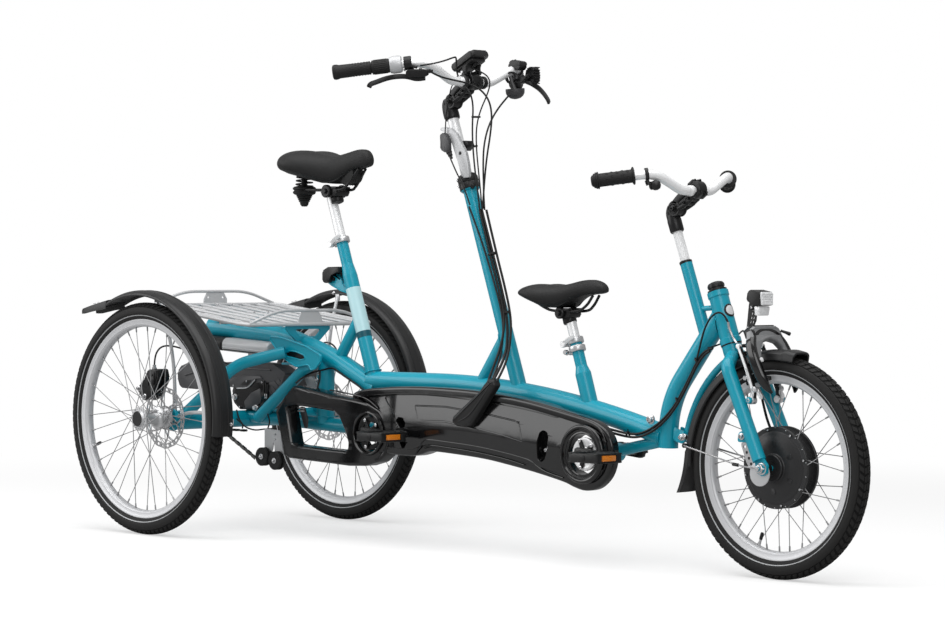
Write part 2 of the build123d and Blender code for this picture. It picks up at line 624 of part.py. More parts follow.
with BuildPart() as front_seatpost:
    post_base = at(1255 - 0.33 * 152, 0, 515)
    add(turned(post_base, (-0.33, 0, 1), [(0, 0), (12.5, 0), (12.5, 78), (0, 78)]))
    add(turned(post_base, (-0.33, 0, 1), [(0, -16), (19, -16), (19, 18), (0, 18)]))
    add(front_seat_tube.part, mode=Mode.SUBTRACT)
with BuildPart() as front_saddle_clamp:
    add(block((1150, 1206), (-22, 22), (576, 596), 4))
    for side in (-1, 1):
        add(round_tube([at(1112, side * 26, 616), at(1150, side * 20, 590), at(1230, side * 18, 590),
                        at(1272, side * 10, 614)], 7, [30, 50]))
    add(front_seatpost.part, mode=Mode.SUBTRACT)
    add(finished["front_saddle"], mode=Mode.SUBTRACT)
with BuildPart() as seatposts:
    add([rear_seatpost.part, front_seatpost.part])
finish("seatposts", seatposts.part)
with BuildPart() as saddle_clamps:
    add([rear_saddle_clamp.part, front_saddle_clamp.part])
finish("saddle_clamps", saddle_clamps.part)


def handlebar(clamp, dip, bend, end, diameter, radii):
    """A handlebar through its clamp: out, up and back to both grips."""
    right = [at(x, -y, z) for x, y, z in (end, bend, dip)]
    left = [at(x, y, z) for x, y, z in (dip, bend, end)]
    return round_tube(right + left, diameter, radii + radii[::-1])


def grip(start, stop, diameter):
    """A grip's sleeve from start to stop along the bar's end, closed beyond it."""
    return round_tube([at(*start), at(*stop)], diameter)


CHILD_END = (1476, 231, 889)
CHILD_BEND = (1569, 127, 908)
with BuildPart() as child_bar:
    add(handlebar((1590, 0, 878), (1581, 50, 870), CHILD_BEND, CHILD_END, 22, [60, 70]))
REAR_END = (693, 310, 1165)
REAR_BEND = (849, 156, 1193)
with BuildPart() as rear_bar:
    add(handlebar((852, 0, 1151), (842, 66, 1149), REAR_BEND, REAR_END, 22, [70, 80]))


def between(start, stop, share):
    """The point a share of the way from start to stop."""
    return tuple(a + (b - a) * share for a, b in zip(start, stop))


def grips(bar, start, stop, share, diameter):
    """Two grips, one on each end of a bar."""
    with BuildPart() as sleeve:
        add(grip(between(start, stop, share), between(start, stop, 1.02), diameter))
        add(bar, mode=Mode.SUBTRACT)
    with BuildPart() as pair:
        add(both(sleeve.part))
    return pair.part


finish("child_bar", child_bar.part)
finish("rear_bar", rear_bar.part)
finish("child_grips", grips(child_bar.part, CHILD_BEND, CHILD_END, 0.15, 33))
finish("rear_grips", grips(rear_bar.part, REAR_BEND, REAR_END, 0.42, 34))

with BuildPart() as child_stem:
    add(turned(at(1552, 0, 705), (-0.37, 0, 1), [(0, 0), (11, 0), (11, 80), (16, 82), (17, 125), (0, 125)]))
    add(round_tube([at(1513, 0, 828), at(1588, 0, 876)], 26))
    add(round_tube([at(1513, -15, 830), at(1513, 15, 830)], 36))
    add(round_tube([at(1590, -20, 878), at(1590, 20, 878)], 36))
    add(child_bar.part, mode=Mode.SUBTRACT)
    add(child_bar_tube.part, mode=Mode.SUBTRACT)
finish("child_stem", child_stem.part)

with BuildPart() as rear_stem:
    mast_along = (-LEAN, 0, 1)
    add(turned(at(1012, 0, 415), mast_along, [(0, 460), (POST_BORE, 460), (POST_BORE, 686), (17, 688), (17, 738),
                                              (0, 738)]))
    add(round_tube([at(764, 0, 1104), at(850, 0, 1149)], 27))
    add(round_tube([at(764, -17, 1106), at(764, 17, 1106)], 40))
    add(round_tube([at(852, -22, 1151), at(852, 22, 1151)], 38))
    add(rear_bar.part, mode=Mode.SUBTRACT)
finish("rear_stem", rear_stem.part)

with BuildPart() as display:
    with BuildSketch(Plane(origin=at(842, 0, 1204), x_dir=(0, 1, 0), z_dir=(-0.5, 0, 1))):
        RectangleRounded(66, 104, 10)
    extrude(amount=11, both=True)
    add(round_tube([at(850, 0, 1172), at(846, 0, 1196)], 16))
    add(rear_bar.part, mode=Mode.SUBTRACT)
    add(rear_stem.part, mode=Mode.SUBTRACT)
with BuildPart() as lever:
    add(round_tube([at(838, 150, 1168), at(790, 225, 1150), at(742, 262, 1128)], 11, [60]))
    add(round_tube([at(838, 150, 1168), at(836, 168, 1190)], 20))
    add(rear_bar.part, mode=Mode.SUBTRACT)
    add(finished["rear_grips"], mode=Mode.SUBTRACT)
with BuildPart() as bar_controls:
    add(both(lever.part))
    add(display.part)
finish("bar_controls", bar_controls.part)

with BuildPart() as rear_lamp:
    add(plate([(345, 652), (352, 672), (396, 662), (412, 640), (404, 628)], -9, 9))
    add(plate([(320, 655), (320, 683), (340, 693), (384, 695), (388, 676), (352, 674), (344, 652)], -22, 22, corner=3))
    add(rear_seat_tube.part, mode=Mode.SUBTRACT)
finish("rear_lamp", rear_lamp.part)

# ---------------------------------------------------------------------------------------------
# Cables: held along their whole way by the levers, ties, guide and frame.


def arc_radii(points):
    """The largest tangent arc that each inner point's two runs leave room for."""
    radii = []
    for before, here, after in zip(points, points[1:], points[2:]):
        turn = radians((here - before).get_angle(after - here))
        radii.append(0.45 * min((here - before).length, (after - here).length) / tan(turn / 2))
    return radii


def cable(places, diameter):
    """A cable through the places, each bend as round as its runs allow."""
    points = [at(*place) for place in places]
    return round_tube(points, diameter, arc_radii(points))


with BuildPart() as mast_cables:
    add(cable([(891, -9, 836), (1001, -14, 530), (1021, -54, 474), (1023, -99, 427)], 12))
    add(cable_guide.part, mode=Mode.SUBTRACT)
finish("mast_cables", mast_cables.part)

with BuildPart() as front_cables:
    add(cable([(1300, -33, 325), (1396, -33, 310), (1474, -33, 318), (1542, -33, 376), (1580, -33, 434),
               (1612, -33, 488), (1652, -33, 516)], 8))
finish("front_cables", front_cables.part)

with BuildPart() as bar_cables:
    add(cable([(858, -128, 1160), (892, -84, 1146), (916, -36, 1120), (926, -10, 1078), (924, -8, 1026),
               (912, -8, 974), (902, -8, 922), (899, -8, 872)], 5))
    add(cable([(872, 128, 1150), (900, 84, 1128), (918, 48, 1090), (918, 26, 1044), (908, 14, 992), (900, 8, 938),
               (898, 6, 884)], 5))
    add(cable([(812, -18, 960), (830, -34, 924), (845, -36, 888), (861, -33, 852)], 5))
    add(rear_bar.part, mode=Mode.SUBTRACT)
    add(bar_controls.part, mode=Mode.SUBTRACT)
finish("bar_cables", bar_cables.part)

with BuildPart() as brake_hose:
    add(cable([(-40, 285, 428), (-38, 283, 462), (-8, 278, 486), (36, 268, 484), (72, 250, 468), (104, 216, 458)], 5))
    add(brake_calipers.part, mode=Mode.SUBTRACT)
    add(mudguard_stays.part, mode=Mode.SUBTRACT)
with BuildPart() as brake_hoses:
    add(both(brake_hose.part))
finish("brake_hoses", brake_hoses.part)
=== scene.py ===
"""The looks of a tandem tricycle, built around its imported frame: materials, detailed pieces and a studio.

Places are in millimetres from the rear axle's line: x forward, y to the left and z up from the floor.
at() turns them into metres in the frame's own axes.
"""

import json
from math import ceil, cos, pi, radians, sin, sqrt, tan

import bmesh
import bpy
from mathutils import Matrix, Vector


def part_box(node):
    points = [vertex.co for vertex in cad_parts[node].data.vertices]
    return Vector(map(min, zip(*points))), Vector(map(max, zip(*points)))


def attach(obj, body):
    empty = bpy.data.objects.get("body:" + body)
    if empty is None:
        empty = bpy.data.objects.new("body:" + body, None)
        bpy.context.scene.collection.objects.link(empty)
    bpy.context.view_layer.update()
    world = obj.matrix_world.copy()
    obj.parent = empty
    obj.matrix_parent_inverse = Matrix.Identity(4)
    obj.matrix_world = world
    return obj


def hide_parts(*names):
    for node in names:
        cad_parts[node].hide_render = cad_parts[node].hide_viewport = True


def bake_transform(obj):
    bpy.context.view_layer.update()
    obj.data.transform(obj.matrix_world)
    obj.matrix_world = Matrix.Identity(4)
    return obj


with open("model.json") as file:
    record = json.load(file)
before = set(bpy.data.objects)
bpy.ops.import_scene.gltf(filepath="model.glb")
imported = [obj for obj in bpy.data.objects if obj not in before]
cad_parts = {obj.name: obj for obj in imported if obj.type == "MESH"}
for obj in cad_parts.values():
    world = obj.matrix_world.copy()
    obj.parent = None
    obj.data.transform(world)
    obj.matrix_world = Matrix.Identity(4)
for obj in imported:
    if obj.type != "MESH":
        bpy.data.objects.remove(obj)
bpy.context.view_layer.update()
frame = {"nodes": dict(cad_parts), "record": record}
nodes = frame["nodes"]

MM = 0.001
X, Y, Z = Vector((1, 0, 0)), Vector((0, 1, 0)), Vector((0, 0, 1))


def centre(node):
    """The middle of a CAD node's box."""
    low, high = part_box(node)
    return (low + high) / 2


REAR_AXLE = centre("right_tyre").x
WHEELBASE = (centre("front_tyre").x - REAR_AXLE) / MM
REAR_RADIUS = centre("right_tyre").z / MM
FRONT_RADIUS = centre("front_tyre").z / MM
HALF_TRACK = centre("left_tyre").y / MM


# How the seat posts and the child's stem lean.
REAR_LEAN = Vector((-0.36, 0, 1)).normalized()
FRONT_LEAN = Vector((-0.33, 0, 1)).normalized()
CHILD_LEAN = Vector((-0.37, 0, 1)).normalized()


def at(x, y, z):
    """A point in metres from millimetres forward of the rear axle's line."""
    return Vector((REAR_AXLE + x * MM, y * MM, z * MM))


# Shader nodes.


class Value:
    """A socket of a material's nodes: arithmetic on it adds Math nodes."""

    def __init__(self, graph, node, output=0):
        self.graph, self.node, self.socket = graph, node, node.outputs[output]

    def out(self, output):
        """Another output of the same node."""
        return Value(self.graph, self.node, output)

    def math(self, operation, *inputs):
        return self.graph.node("Math", {"operation": operation}, dict(enumerate(inputs)))

    def __add__(self, other):
        return self.math("ADD", self, other)

    def __sub__(self, other):
        return self.math("SUBTRACT", self, other)

    def __rsub__(self, other):
        return self.math("SUBTRACT", other, self)

    def __mul__(self, other):
        return self.math("MULTIPLY", self, other)

    __radd__, __rmul__ = __add__, __mul__

    def over(self, edge, softness):
        """1 where the value is above the edge and 0 below it, blended over the softness."""
        sockets = {"Value": self, "From Min": edge - softness, "From Max": edge + softness}
        return self.graph.node("MapRange", {"interpolation_type": "SMOOTHSTEP"}, sockets)


class Graph:
    """A tree of shader nodes."""

    def __init__(self, tree):
        self.tree = tree

    def connect(self, socket, value):
        if isinstance(value, Value):
            self.tree.links.new(value.socket, socket)
        else:
            socket.default_value = value

    def node(self, kind, settings, sockets):
        """A node of one kind with its settings first, then what its sockets hold."""
        made = self.tree.nodes.new("ShaderNode" + kind)
        for setting, value in settings.items():
            setattr(made, setting, value)
        for name, value in sockets.items():
            self.connect(made.inputs[name], value)
        return Value(self, made)


class Finish(Graph):
    """A material on one Principled shader; constants are set on its sockets."""

    def __init__(self, name, colour, roughness, metallic=0.0, **constants):
        self.material = bpy.data.materials.new(name)
        self.material.use_nodes = True
        super().__init__(self.material.node_tree)
        self.shader = self.tree.nodes["Principled BSDF"]
        self.colour, self.roughness = (*colour, 1.0), roughness
        self.set("Base Color", self.colour)
        self.set("Roughness", roughness)
        self.set("Metallic", metallic)
        for socket, value in constants.items():
            self.set(socket.replace("_", " "), value)
        self.place = self.node("TexCoord", {}, {}).out("Object")
        self.noises = {}

    def set(self, name, value):
        """A constant or a Value for one of the shader's sockets."""
        self.connect(self.shader.inputs[name], value)

    def noise(self, scale, detail=3.0, stretch=None):
        """Soft noise of a number of cells a metre, longer along an axis when stretched."""
        key = (scale, detail, stretch)
        if key not in self.noises:
            place = self.place
            if stretch:
                place = self.node("VectorMath", {"operation": "MULTIPLY"}, {0: place, 1: stretch})
            sockets = {"Vector": place, "Scale": scale, "Detail": detail, "Roughness": 0.5}
            self.noises[key] = self.node("TexNoise", {}, sockets)
        return self.noises[key]

    def cells(self, scale):
        """The distance to the nearest of scattered points."""
        return self.node("TexVoronoi", {}, {"Vector": self.place, "Scale": scale})

    def mix(self, factor, first, second):
        """Two colours mixed."""
        return self.node("Mix", {"data_type": "RGBA"}, {0: factor, 6: first, 7: second}).out(2)

    def shade(self, factor, low, high):
        """The base colour made darker or lighter along the factor."""
        dark = tuple(c * low for c in self.colour[:3]) + (1.0,)
        light = tuple(min(1.0, c * high) for c in self.colour[:3]) + (1.0,)
        self.set("Base Color", self.mix(factor, dark, light))

    def vary(self, factor, spread):
        """The roughness moved either way along the factor."""
        self.set("Roughness", factor * (2 * spread) + (self.roughness - spread))

    def bump(self, height, depth):
        """Relief of a height times a depth in metres."""
        self.set("Normal", self.node("Bump", {}, {"Height": height, "Distance": depth, "Strength": 1.0}))


def finish(name, colour, roughness, metallic, tint, sheen=None, relief=None, **constants):
    """A noisy finish: tint is (noise, low, high), sheen (noise, spread) and relief (noise, depth)."""
    made = Finish(name, colour, roughness, metallic, **constants)
    noise, low, high = tint
    made.shade(made.noise(*noise), low, high)
    if sheen:
        made.vary(made.noise(*sheen[0]), sheen[1])
    if relief:
        made.bump(made.noise(*relief[0]), relief[1])
    return made.material


def gloss_black():
    """Thermoformed gloss shell with the slow waviness of a moulding."""
    made = Finish("gloss_black", (0.0035, 0.0035, 0.0038), 0.16, Specular_IOR_Level=0.4, Coat_Weight=0.25,
                  Coat_Roughness=0.05)
    made.shade(made.noise(8), 0.85, 1.2)
    made.vary(made.noise(30), 0.03)
    made.bump(made.noise(16, 2) + made.noise(500, 2) * 0.02, 0.0006)
    return made.material


def saddle_leather():
    """Embossed upholstery with a leather grain of small cells."""
    made = Finish("saddle_cover", (0.011, 0.011, 0.0112), 0.56, Specular_IOR_Level=0.3)
    made.shade(made.noise(35), 0.85, 1.2)
    made.vary(made.noise(200), 0.06)
    made.bump(made.cells(900) * 0.7 + made.noise(420, 4) * 0.6, 0.0003)
    return made.material


def prisms(name, colour, roughness, metallic, coat, scale, low, high, depth):
    """A moulded reflector or lens with its small prisms."""
    made = Finish(name, colour, roughness, metallic, Coat_Weight=coat)
    made.shade(made.cells(scale), low, high)
    made.bump(made.cells(scale), depth)
    return made.material


# Powder coat with an orange peel, its pale band and the darker ring below it.
TEAL = finish("teal_paint", (0, 0.3, 0.41), 0.42, 0, ((9,), 0.93, 1.06), ((60,), 0.04), ((420, 2), 0.00012),
              Specular_IOR_Level=0.3, Coat_Weight=0.35, Coat_Roughness=0.12)
PALE = finish("pale_band", (0.47, 0.72, 0.76), 0.36, 0, ((30,), 0.97, 1.02), None, ((420, 2), 0.00008),
              Coat_Weight=0.4, Coat_Roughness=0.15)
RING = finish("dark_teal_ring", (0, 0.075, 0.105), 0.46, 0, ((30,), 0.95, 1.05), Specular_IOR_Level=0.3,
              Coat_Weight=0.2, Coat_Roughness=0.2)

# Rubber: tyres, the floor of their tread painted darker than the tyre as shade between the lugs, their
# reflective line, and grips.
TYRE = finish("tyre_rubber", (0.0135, 0.0132, 0.013), 0.66, 0, ((24,), 0.8, 1.25), ((900, 4), 0.08),
              ((900, 4), 0.00022), Specular_IOR_Level=0.25)
SHADED_TREAD_FLOOR = finish("tread_floor_painted_shade", (0.0035, 0.0035, 0.0036), 0.7, 0, ((60,), 0.8, 1.2), Specular_IOR_Level=0.2)
STRIPE = finish("reflective_stripe", (0.42, 0.43, 0.44), 0.4, 0, ((300,), 0.85, 1.1))
GRIP = finish("grip_rubber", (0.009, 0.009, 0.009), 0.58, 0, ((50,), 0.85, 1.2), ((1400,), 0.07),
              ((1400,), 0.00014), Specular_IOR_Level=0.3)

# Bare metal: turned rims, drawn bars, castings, bolts, chain and spokes.
TURNING, DRAWING = (700, 3, (1, 9, 1)), (500, 3, (1, 1, 0.08))
RIM = finish("machined_rim", (0.6, 0.605, 0.62), 0.45, 0.4, ((14,), 0.96, 1.03), (TURNING, 0.06),
             (TURNING, 0.00004))
BRIGHT = finish("bright_aluminium", (0.9, 0.905, 0.912), 0.35, 0.25, ((18,), 0.97, 1.02), (DRAWING, 0.06),
                (DRAWING, 0.00003))
CAST = finish("cast_aluminium", (0.6, 0.605, 0.615), 0.38, 0.9, ((60,), 0.9, 1.06), ((1100, 4), 0.08),
              ((1100, 4), 0.00006))
STEEL = finish("polished_steel", (0.62, 0.62, 0.63), 0.24, 1, ((90,), 0.88, 1.05), ((400,), 0.07))
CHAIN = finish("chain_steel", (0.1, 0.098, 0.095), 0.4, 0.8, ((500,), 0.5, 1.5), ((900,), 0.1))
SPOKE = finish("spoke_steel", (0.3, 0.3, 0.305), 0.42, 0.7, ((120,), 0.9, 1.08), ((400,), 0.05))

# Painted metal with a fine fleck.
GREY = finish("grey_paint", (0.56, 0.565, 0.575), 0.4, 0.25, ((2600, 2), 0.9, 1.08), ((120,), 0.05),
              ((600, 2), 0.00006), Coat_Weight=0.25, Coat_Roughness=0.3)
SILVER = finish("silver_case", (0.5, 0.505, 0.515), 0.42, 0.3, ((2200, 2), 0.92, 1.06), ((90,), 0.05),
                ((800, 2), 0.00005))

# Black and grey: gloss shells, satin plastic, extruded covers, forgings and castings.
GLOSS = gloss_black()
PLASTIC = finish("black_plastic", (0.0095, 0.0095, 0.0098), 0.42, 0, ((40,), 0.85, 1.18), ((1700,), 0.06),
                 ((1700,), 0.00008), Specular_IOR_Level=0.35)
GUARD = finish("guard_plastic", (0.0125, 0.0125, 0.013), 0.38, 0, ((12,), 0.9, 1.12), ((70,), 0.05),
               ((900,), 0.00005), Specular_IOR_Level=0.35)
METAL = finish("black_metal", (0.012, 0.012, 0.0125), 0.34, 0.3, ((80,), 0.8, 1.3), ((300,), 0.06),
               ((900, 2), 0.00005), Specular_IOR_Level=0.35)
MOTOR = finish("motor_black", (0.017, 0.017, 0.018), 0.4, 0.2, ((50,), 0.85, 1.2), ((750, 4), 0.07),
               ((750, 4), 0.00012))
DARK = finish("dark_grey", (0.05, 0.05, 0.053), 0.42, 0.3, ((40,), 0.85, 1.15), ((1000,), 0.05),
              ((1000,), 0.00008))
LOCK = finish("lock_grey", (0.23, 0.235, 0.24), 0.42, 0.4, ((60,), 0.92, 1.08), ((1600,), 0.05),
              ((1600,), 0.00006))
COVER = saddle_leather()
SHEATH = finish("cable_sheath", (0.007, 0.007, 0.007), 0.42, 0, ((200,), 0.8, 1.3), ((500,), 0.06),
                Specular_IOR_Level=0.3)

# Reflectors, lenses, the display's glass and the blank badge.
AMBER = prisms("amber_reflector", (0.75, 0.2, 0.01), 0.18, 0, 0.6, 700, 0.55, 1.5, 0.0004)
RED = prisms("red_lens", (0.4, 0.008, 0.01), 0.16, 0, 0.6, 500, 0.6, 1.3, 0.0004)
LENS = prisms("lamp_lens", (0.93, 0.94, 0.95), 0.16, 0.15, 1, 160, 0.8, 1.05, 0.0007)
SCREEN = finish("screen", (0.02, 0.023, 0.026), 0.07, 0, ((20,), 0.9, 1.1), Coat_Weight=1)
ENAMEL = finish("white_enamel", (0.72, 0.73, 0.74), 0.25, 0, ((60,), 0.95, 1.03), Coat_Weight=0.8)

CAD_FINISH = {"teal_paint": TEAL, "tyre_rubber": TYRE, "bright_aluminium": BRIGHT, "grey_paint": GREY,
              "silver_case": SILVER, "gloss_black": GLOSS, "black_rubber": GRIP, "saddle_cover": COVER,
              "motor_black": MOTOR, "black_metal": METAL, "black_plastic": PLASTIC}
for subpart in frame["record"]["subparts"]:
    mesh = nodes[subpart["node"]].data
    mesh.materials.clear()
    mesh.materials.append(CAD_FINISH[subpart["material_slot"]])

# Shapes.

SHARP = radians(34)  # edges that turn more than this stay crisp


def square_to(direction):
    """Two directions square to one another and to the given one."""
    along = Vector(direction).normalized()
    side = X if abs(along.x) < 0.9 else Z
    side = (side - along * side.dot(along)).normalized()
    return side, along.cross(side)


def rounded(corners, radius, steps=4):
    """A flat outline with each corner turned into an arc; radius is one number or one for each corner."""
    count = len(corners)
    radii = radius if isinstance(radius, (list, tuple)) else [radius] * count
    outline = []
    for number, corner in enumerate(corners):
        here = Vector(corner)
        back = Vector(corners[number - 1]) - here
        ahead = Vector(corners[(number + 1) % count]) - here
        angle = back.angle(ahead)
        reach = min(radii[number] / tan(angle / 2), 0.48 * back.length, 0.48 * ahead.length)
        if reach < 0.01 or angle > pi - 0.02:
            outline.append(tuple(here))
            continue
        start, stop = here + back.normalized() * reach, here + ahead.normalized() * reach
        for step in range(steps + 1):
            t = step / steps
            point = start * (1 - t) ** 2 + here * 2 * t * (1 - t) + stop * t ** 2
            outline.append(tuple(point))
    return outline


def smooth_path(points, steps=6):
    """A smooth curve through points, with some steps between each two."""
    points = [Vector(point) for point in points]
    ends = [points[0] * 2 - points[1], *points, points[-1] * 2 - points[-2]]
    path = []
    for a, b, c, d in zip(ends, ends[1:], ends[2:], ends[3:]):
        for step in range(steps):
            t = step / steps
            path.append(0.5 * (2 * b + (c - a) * t + (2 * a - 5 * b + 4 * c - d) * t ** 2
                               + (3 * b - a - 3 * c + d) * t ** 3))
    return path + [points[-1]]


def route(places, steps=6):
    """A smooth curve through places in millimetres."""
    return smooth_path([at(*place) for place in places], steps)


def circle(x, z, radius, stop=352.5, steps=48):
    """A circle's points in a flat outline, from 0 degrees up to its last point."""
    turns = [radians(stop * step / steps) for step in range(steps + 1)]
    return [(x + radius * cos(turn), z + radius * sin(turn)) for turn in turns]


def oblong(half_width, half_height, radius, steps=3):
    """A rounded rectangle about the origin."""
    a, b = half_width, half_height
    return rounded([(-a, -b), (a, -b), (a, b), (-a, b)], radius, steps)


def outwards(way, count):
    """Directions square to a way, spaced evenly round it."""
    across, other = square_to(way)
    turns = [2 * pi * k / count for k in range(count)]
    return [across * cos(turn) + other * sin(turn) for turn in turns]


def add_object(name, data):
    """A new object in the scene."""
    made = bpy.data.objects.new(name, data)
    bpy.context.scene.collection.objects.link(made)
    return made


class Piece:
    """A modelled piece: the shapes added to it become one object."""

    def __init__(self, name, body, slot):
        self.name, self.body, self.slot = name, body, slot
        self.bm = bmesh.new()
        self.materials = []

    def vert(self, point):
        return self.bm.verts.new(point)

    def face(self, *corners):
        return self.bm.faces.new(corners)

    def paint(self, faces, material):
        if material not in self.materials:
            self.materials.append(material)
        for face in faces:
            face.material_index = self.materials.index(material)
            face.smooth = True

    def rings(self, rows, material, caps=True):
        """A skin over rows of points; each row closes on itself."""
        grid = [[self.vert(point) for point in row] for row in rows]
        faces = []
        for low, high in zip(grid, grid[1:]):
            count = len(low)
            for number in range(count):
                after = (number + 1) % count
                faces.append(self.face(low[number], low[after], high[after], high[number]))
        if caps:
            faces += [self.face(*grid[0][::-1]), self.face(*grid[-1])]
        self.paint(faces, material)
        return grid

    def lathe(self, base, direction, profile, material, sides=48, closed=False):
        """Turns a profile of (radius, distance along), in millimetres, about an axis."""
        along = Vector(direction).normalized()
        rows = [[base + out * (r * MM) + along * (d * MM) for r, d in profile]
                for out in outwards(direction, sides)]
        grid = [[self.vert(point) for point in row] for row in rows]
        poles = {}
        for place, (radius, distance) in enumerate(profile):
            if radius < 1e-4:
                poles[place] = self.vert(base + along * (distance * MM))
        faces = []
        for number in range(sides):
            low, high = grid[number], grid[(number + 1) % sides]
            last = len(profile) if closed else len(profile) - 1
            for place in range(last):
                after = (place + 1) % len(profile)
                corners = [poles.get(place, low[place]), poles.get(after, low[after]),
                           poles.get(after, high[after]), poles.get(place, high[place])]
                corners = [v for i, v in enumerate(corners) if v not in corners[:i]]
                if len(corners) > 2:
                    faces.append(self.face(*corners))
        for row in grid:
            for place in poles:
                self.bm.verts.remove(row[place])
        self.paint(faces, material)

    def plug(self, base, direction, profile, material, sides=48):
        """Turns a profile whose two ends are closed by flat faces to the axis."""
        ends = [(0, profile[0][1]), *profile, (0, profile[-1][1])]
        self.lathe(base, direction, ends, material, sides)

    def tube(self, path, radius, material, sides=12, loop=False):
        """A round bar along a path in metres; radius is in millimetres, one or one for each point."""
        radii = radius if isinstance(radius, (list, tuple)) else [radius] * len(path)
        section = [(cos(2 * pi * k / sides), sin(2 * pi * k / sides)) for k in range(sides)]
        self.sweep(path, section, radii, material, loop)

    def sweep(self, path, section, scales, material, loop=False, up=None):
        """A flat section, in millimetres at scale 1, carried along a path without twist.

        With up given, the section's second axis stays on its side."""
        path = [Vector(point) for point in path]
        count = len(path)
        tangents = []
        for number in range(count):
            before = path[number - 1] if number or loop else path[0]
            after = path[(number + 1) % count] if number < count - 1 or loop else path[-1]
            tangents.append((after - before).normalized())
        side, other = square_to(tangents[0])
        if up is not None:
            side = tangents[0].cross(Vector(up)).normalized()
            other = side.cross(tangents[0])
        rows = []
        for number, tangent in enumerate(tangents):
            if up is None:
                side = (side - tangent * side.dot(tangent)).normalized()
                other = tangent.cross(side)
            else:
                side = tangent.cross(Vector(up)).normalized()
                other = side.cross(tangent)
            scale = scales[number] if isinstance(scales, (list, tuple)) else scales
            rows.append([path[number] + (side * a + other * b) * (scale * MM) for a, b in section])
        grid = self.rings(rows, material, caps=not loop)
        if loop:
            last, first = grid[-1], grid[0]
            self.paint([self.face(last[k - 1], last[k], first[k], first[k - 1])
                        for k in range(len(section))], material)

    def solid(self, outline, place, thickness, material, bevel=0.0):
        """A flat outline given a thickness; place turns (across, up, depth) in millimetres into a point."""
        verts = [self.vert(place(a, b, 0)) for a, b in outline]
        top = [self.vert(place(a, b, thickness)) for a, b in outline]
        count = len(verts)
        lids = [self.face(*verts), self.face(*top[::-1])]
        sides = [self.face(verts[(k + 1) % count], verts[k], top[k], top[(k + 1) % count])
                 for k in range(count)]
        self.paint(lids + sides, material)
        if bevel:
            faces = lids + sides if count <= 6 else lids
            edges = dict.fromkeys(edge for face in faces for edge in face.edges)
            made = bmesh.ops.bevel(self.bm, geom=list(edges), offset=bevel * MM, segments=2, profile=0.5,
                affect="EDGES", clamp_overlap=True)
            self.paint(made["faces"], material)

    def prism(self, outline, low, high, material, bevel=0.0):
        """An outline in x and z given a thickness from y = low to y = high."""
        self.solid(outline, lambda x, z, d: at(x, low + d, z), high - low, material, bevel)

    def block(self, place, sizes, material, bevel=1.0, along=X, up=Z):
        """A box with softened edges: sizes are along, across and up."""
        along, up = Vector(along).normalized(), Vector(up).normalized()
        across = up.cross(along).normalized()
        length, width, height = sizes
        corners = [(-length / 2, -width / 2), (length / 2, -width / 2), (length / 2, width / 2),
                   (-length / 2, width / 2)]

        def spot(a, b, d):
            return place + (along * a + across * b + up * (d - height / 2)) * MM

        self.solid(corners, spot, height, material, bevel)

    def disc(self, place, direction, radius, height, material, edge=0.6, sides=24):
        """A short cylinder from a place along a direction, with a softened rim."""
        edge = min(edge, radius * 0.4, height * 0.45)
        profile = [(0, 0), (radius, 0), (radius, height - edge), (radius - edge * 0.3, height - edge * 0.3),
                   (radius - edge, height), (0, height)]
        self.lathe(place, direction, profile, material, sides)

    def bolt(self, place, direction, radius, material=STEEL, washer=True):
        """A socket head bolt on its washer."""
        if washer:
            self.disc(place, direction, radius * 1.5, radius * 0.3, material, 0.2, 20)
        profile = [(radius, 0), (radius, radius * 1.1), (radius * 0.85, radius * 1.3),
                   (radius * 0.5, radius * 1.3), (radius * 0.5, radius * 0.6), (0, radius * 0.6)]
        self.lathe(place + Vector(direction).normalized() * (radius * 0.2 * MM), direction, profile,
                   material, 18)

    def nut(self, place, direction, across, height, material=STEEL):
        """A hexagon nut with chamfered corners."""
        corner = across / sqrt(3)
        profile = [(corner * 0.92, 0), (corner, height * 0.15), (corner, height * 0.8),
                   (corner * 0.86, height), (0, height)]
        self.lathe(place, direction, profile, material, 6)

    def weld(self, path, material, size=2.2):
        """A rippled weld bead along a closed path."""
        count = len(path)
        radii = [size * (1 + 0.16 * (-1) ** k) for k in range(count)]
        self.tube(path, radii, material, 8, loop=True)

    def done(self, *stands_for, subdivide=0, sharp=SHARP):
        """Makes the object, rides it on its body and hides the CAD nodes that it stands for."""
        bmesh.ops.remove_doubles(self.bm, verts=self.bm.verts[:], dist=0.02 * MM)
        bmesh.ops.recalc_face_normals(self.bm, faces=self.bm.faces[:])
        for edge in self.bm.edges:
            if len(edge.link_faces) == 2 and edge.calc_face_angle(0) > sharp:
                edge.smooth = False
        mesh = bpy.data.meshes.new(self.name)
        self.bm.to_mesh(mesh)
        self.bm.free()
        for material in self.materials:
            mesh.materials.append(material)
        made = add_object(self.name, mesh)
        if subdivide:
            skin = made.modifiers.new("skin", "SUBSURF")
            skin.levels = skin.render_levels = subdivide
        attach(made, self.body)
        if stands_for:
            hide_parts(*stands_for)
        return made


def cord_curve(name, body, places, diameter, stands_for=()):
    """A held cable: a smooth round curve on the points of its route."""
    data = bpy.data.curves.new(name, "CURVE")
    data.dimensions = "3D"
    data.bevel_depth = diameter / 2 * MM
    data.bevel_resolution = 3
    data.resolution_u = 10
    data.use_fill_caps = True
    line = data.splines.new("NURBS")
    line.points.add(len(places) - 1)
    for point, place in zip(line.points, places):
        point.co = (*at(*place), 1)
    line.order_u = 3
    line.use_endpoint_u = True
    data.materials.append(SHEATH)
    made = add_object(name, data)
    if body:
        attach(made, body)
    if stands_for:
        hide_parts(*stands_for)
    return made


# Wheels.

TYRE_HALF = 23.5
TREAD_DEPTH = 1.8
BEAD = 45.0  # from the tyre's outer radius in to the rim's seat
RIM_DEPTH = 18.0
SPOKE_COUNT = 36
SIDES = 144  # of everything turned at a tyre's size


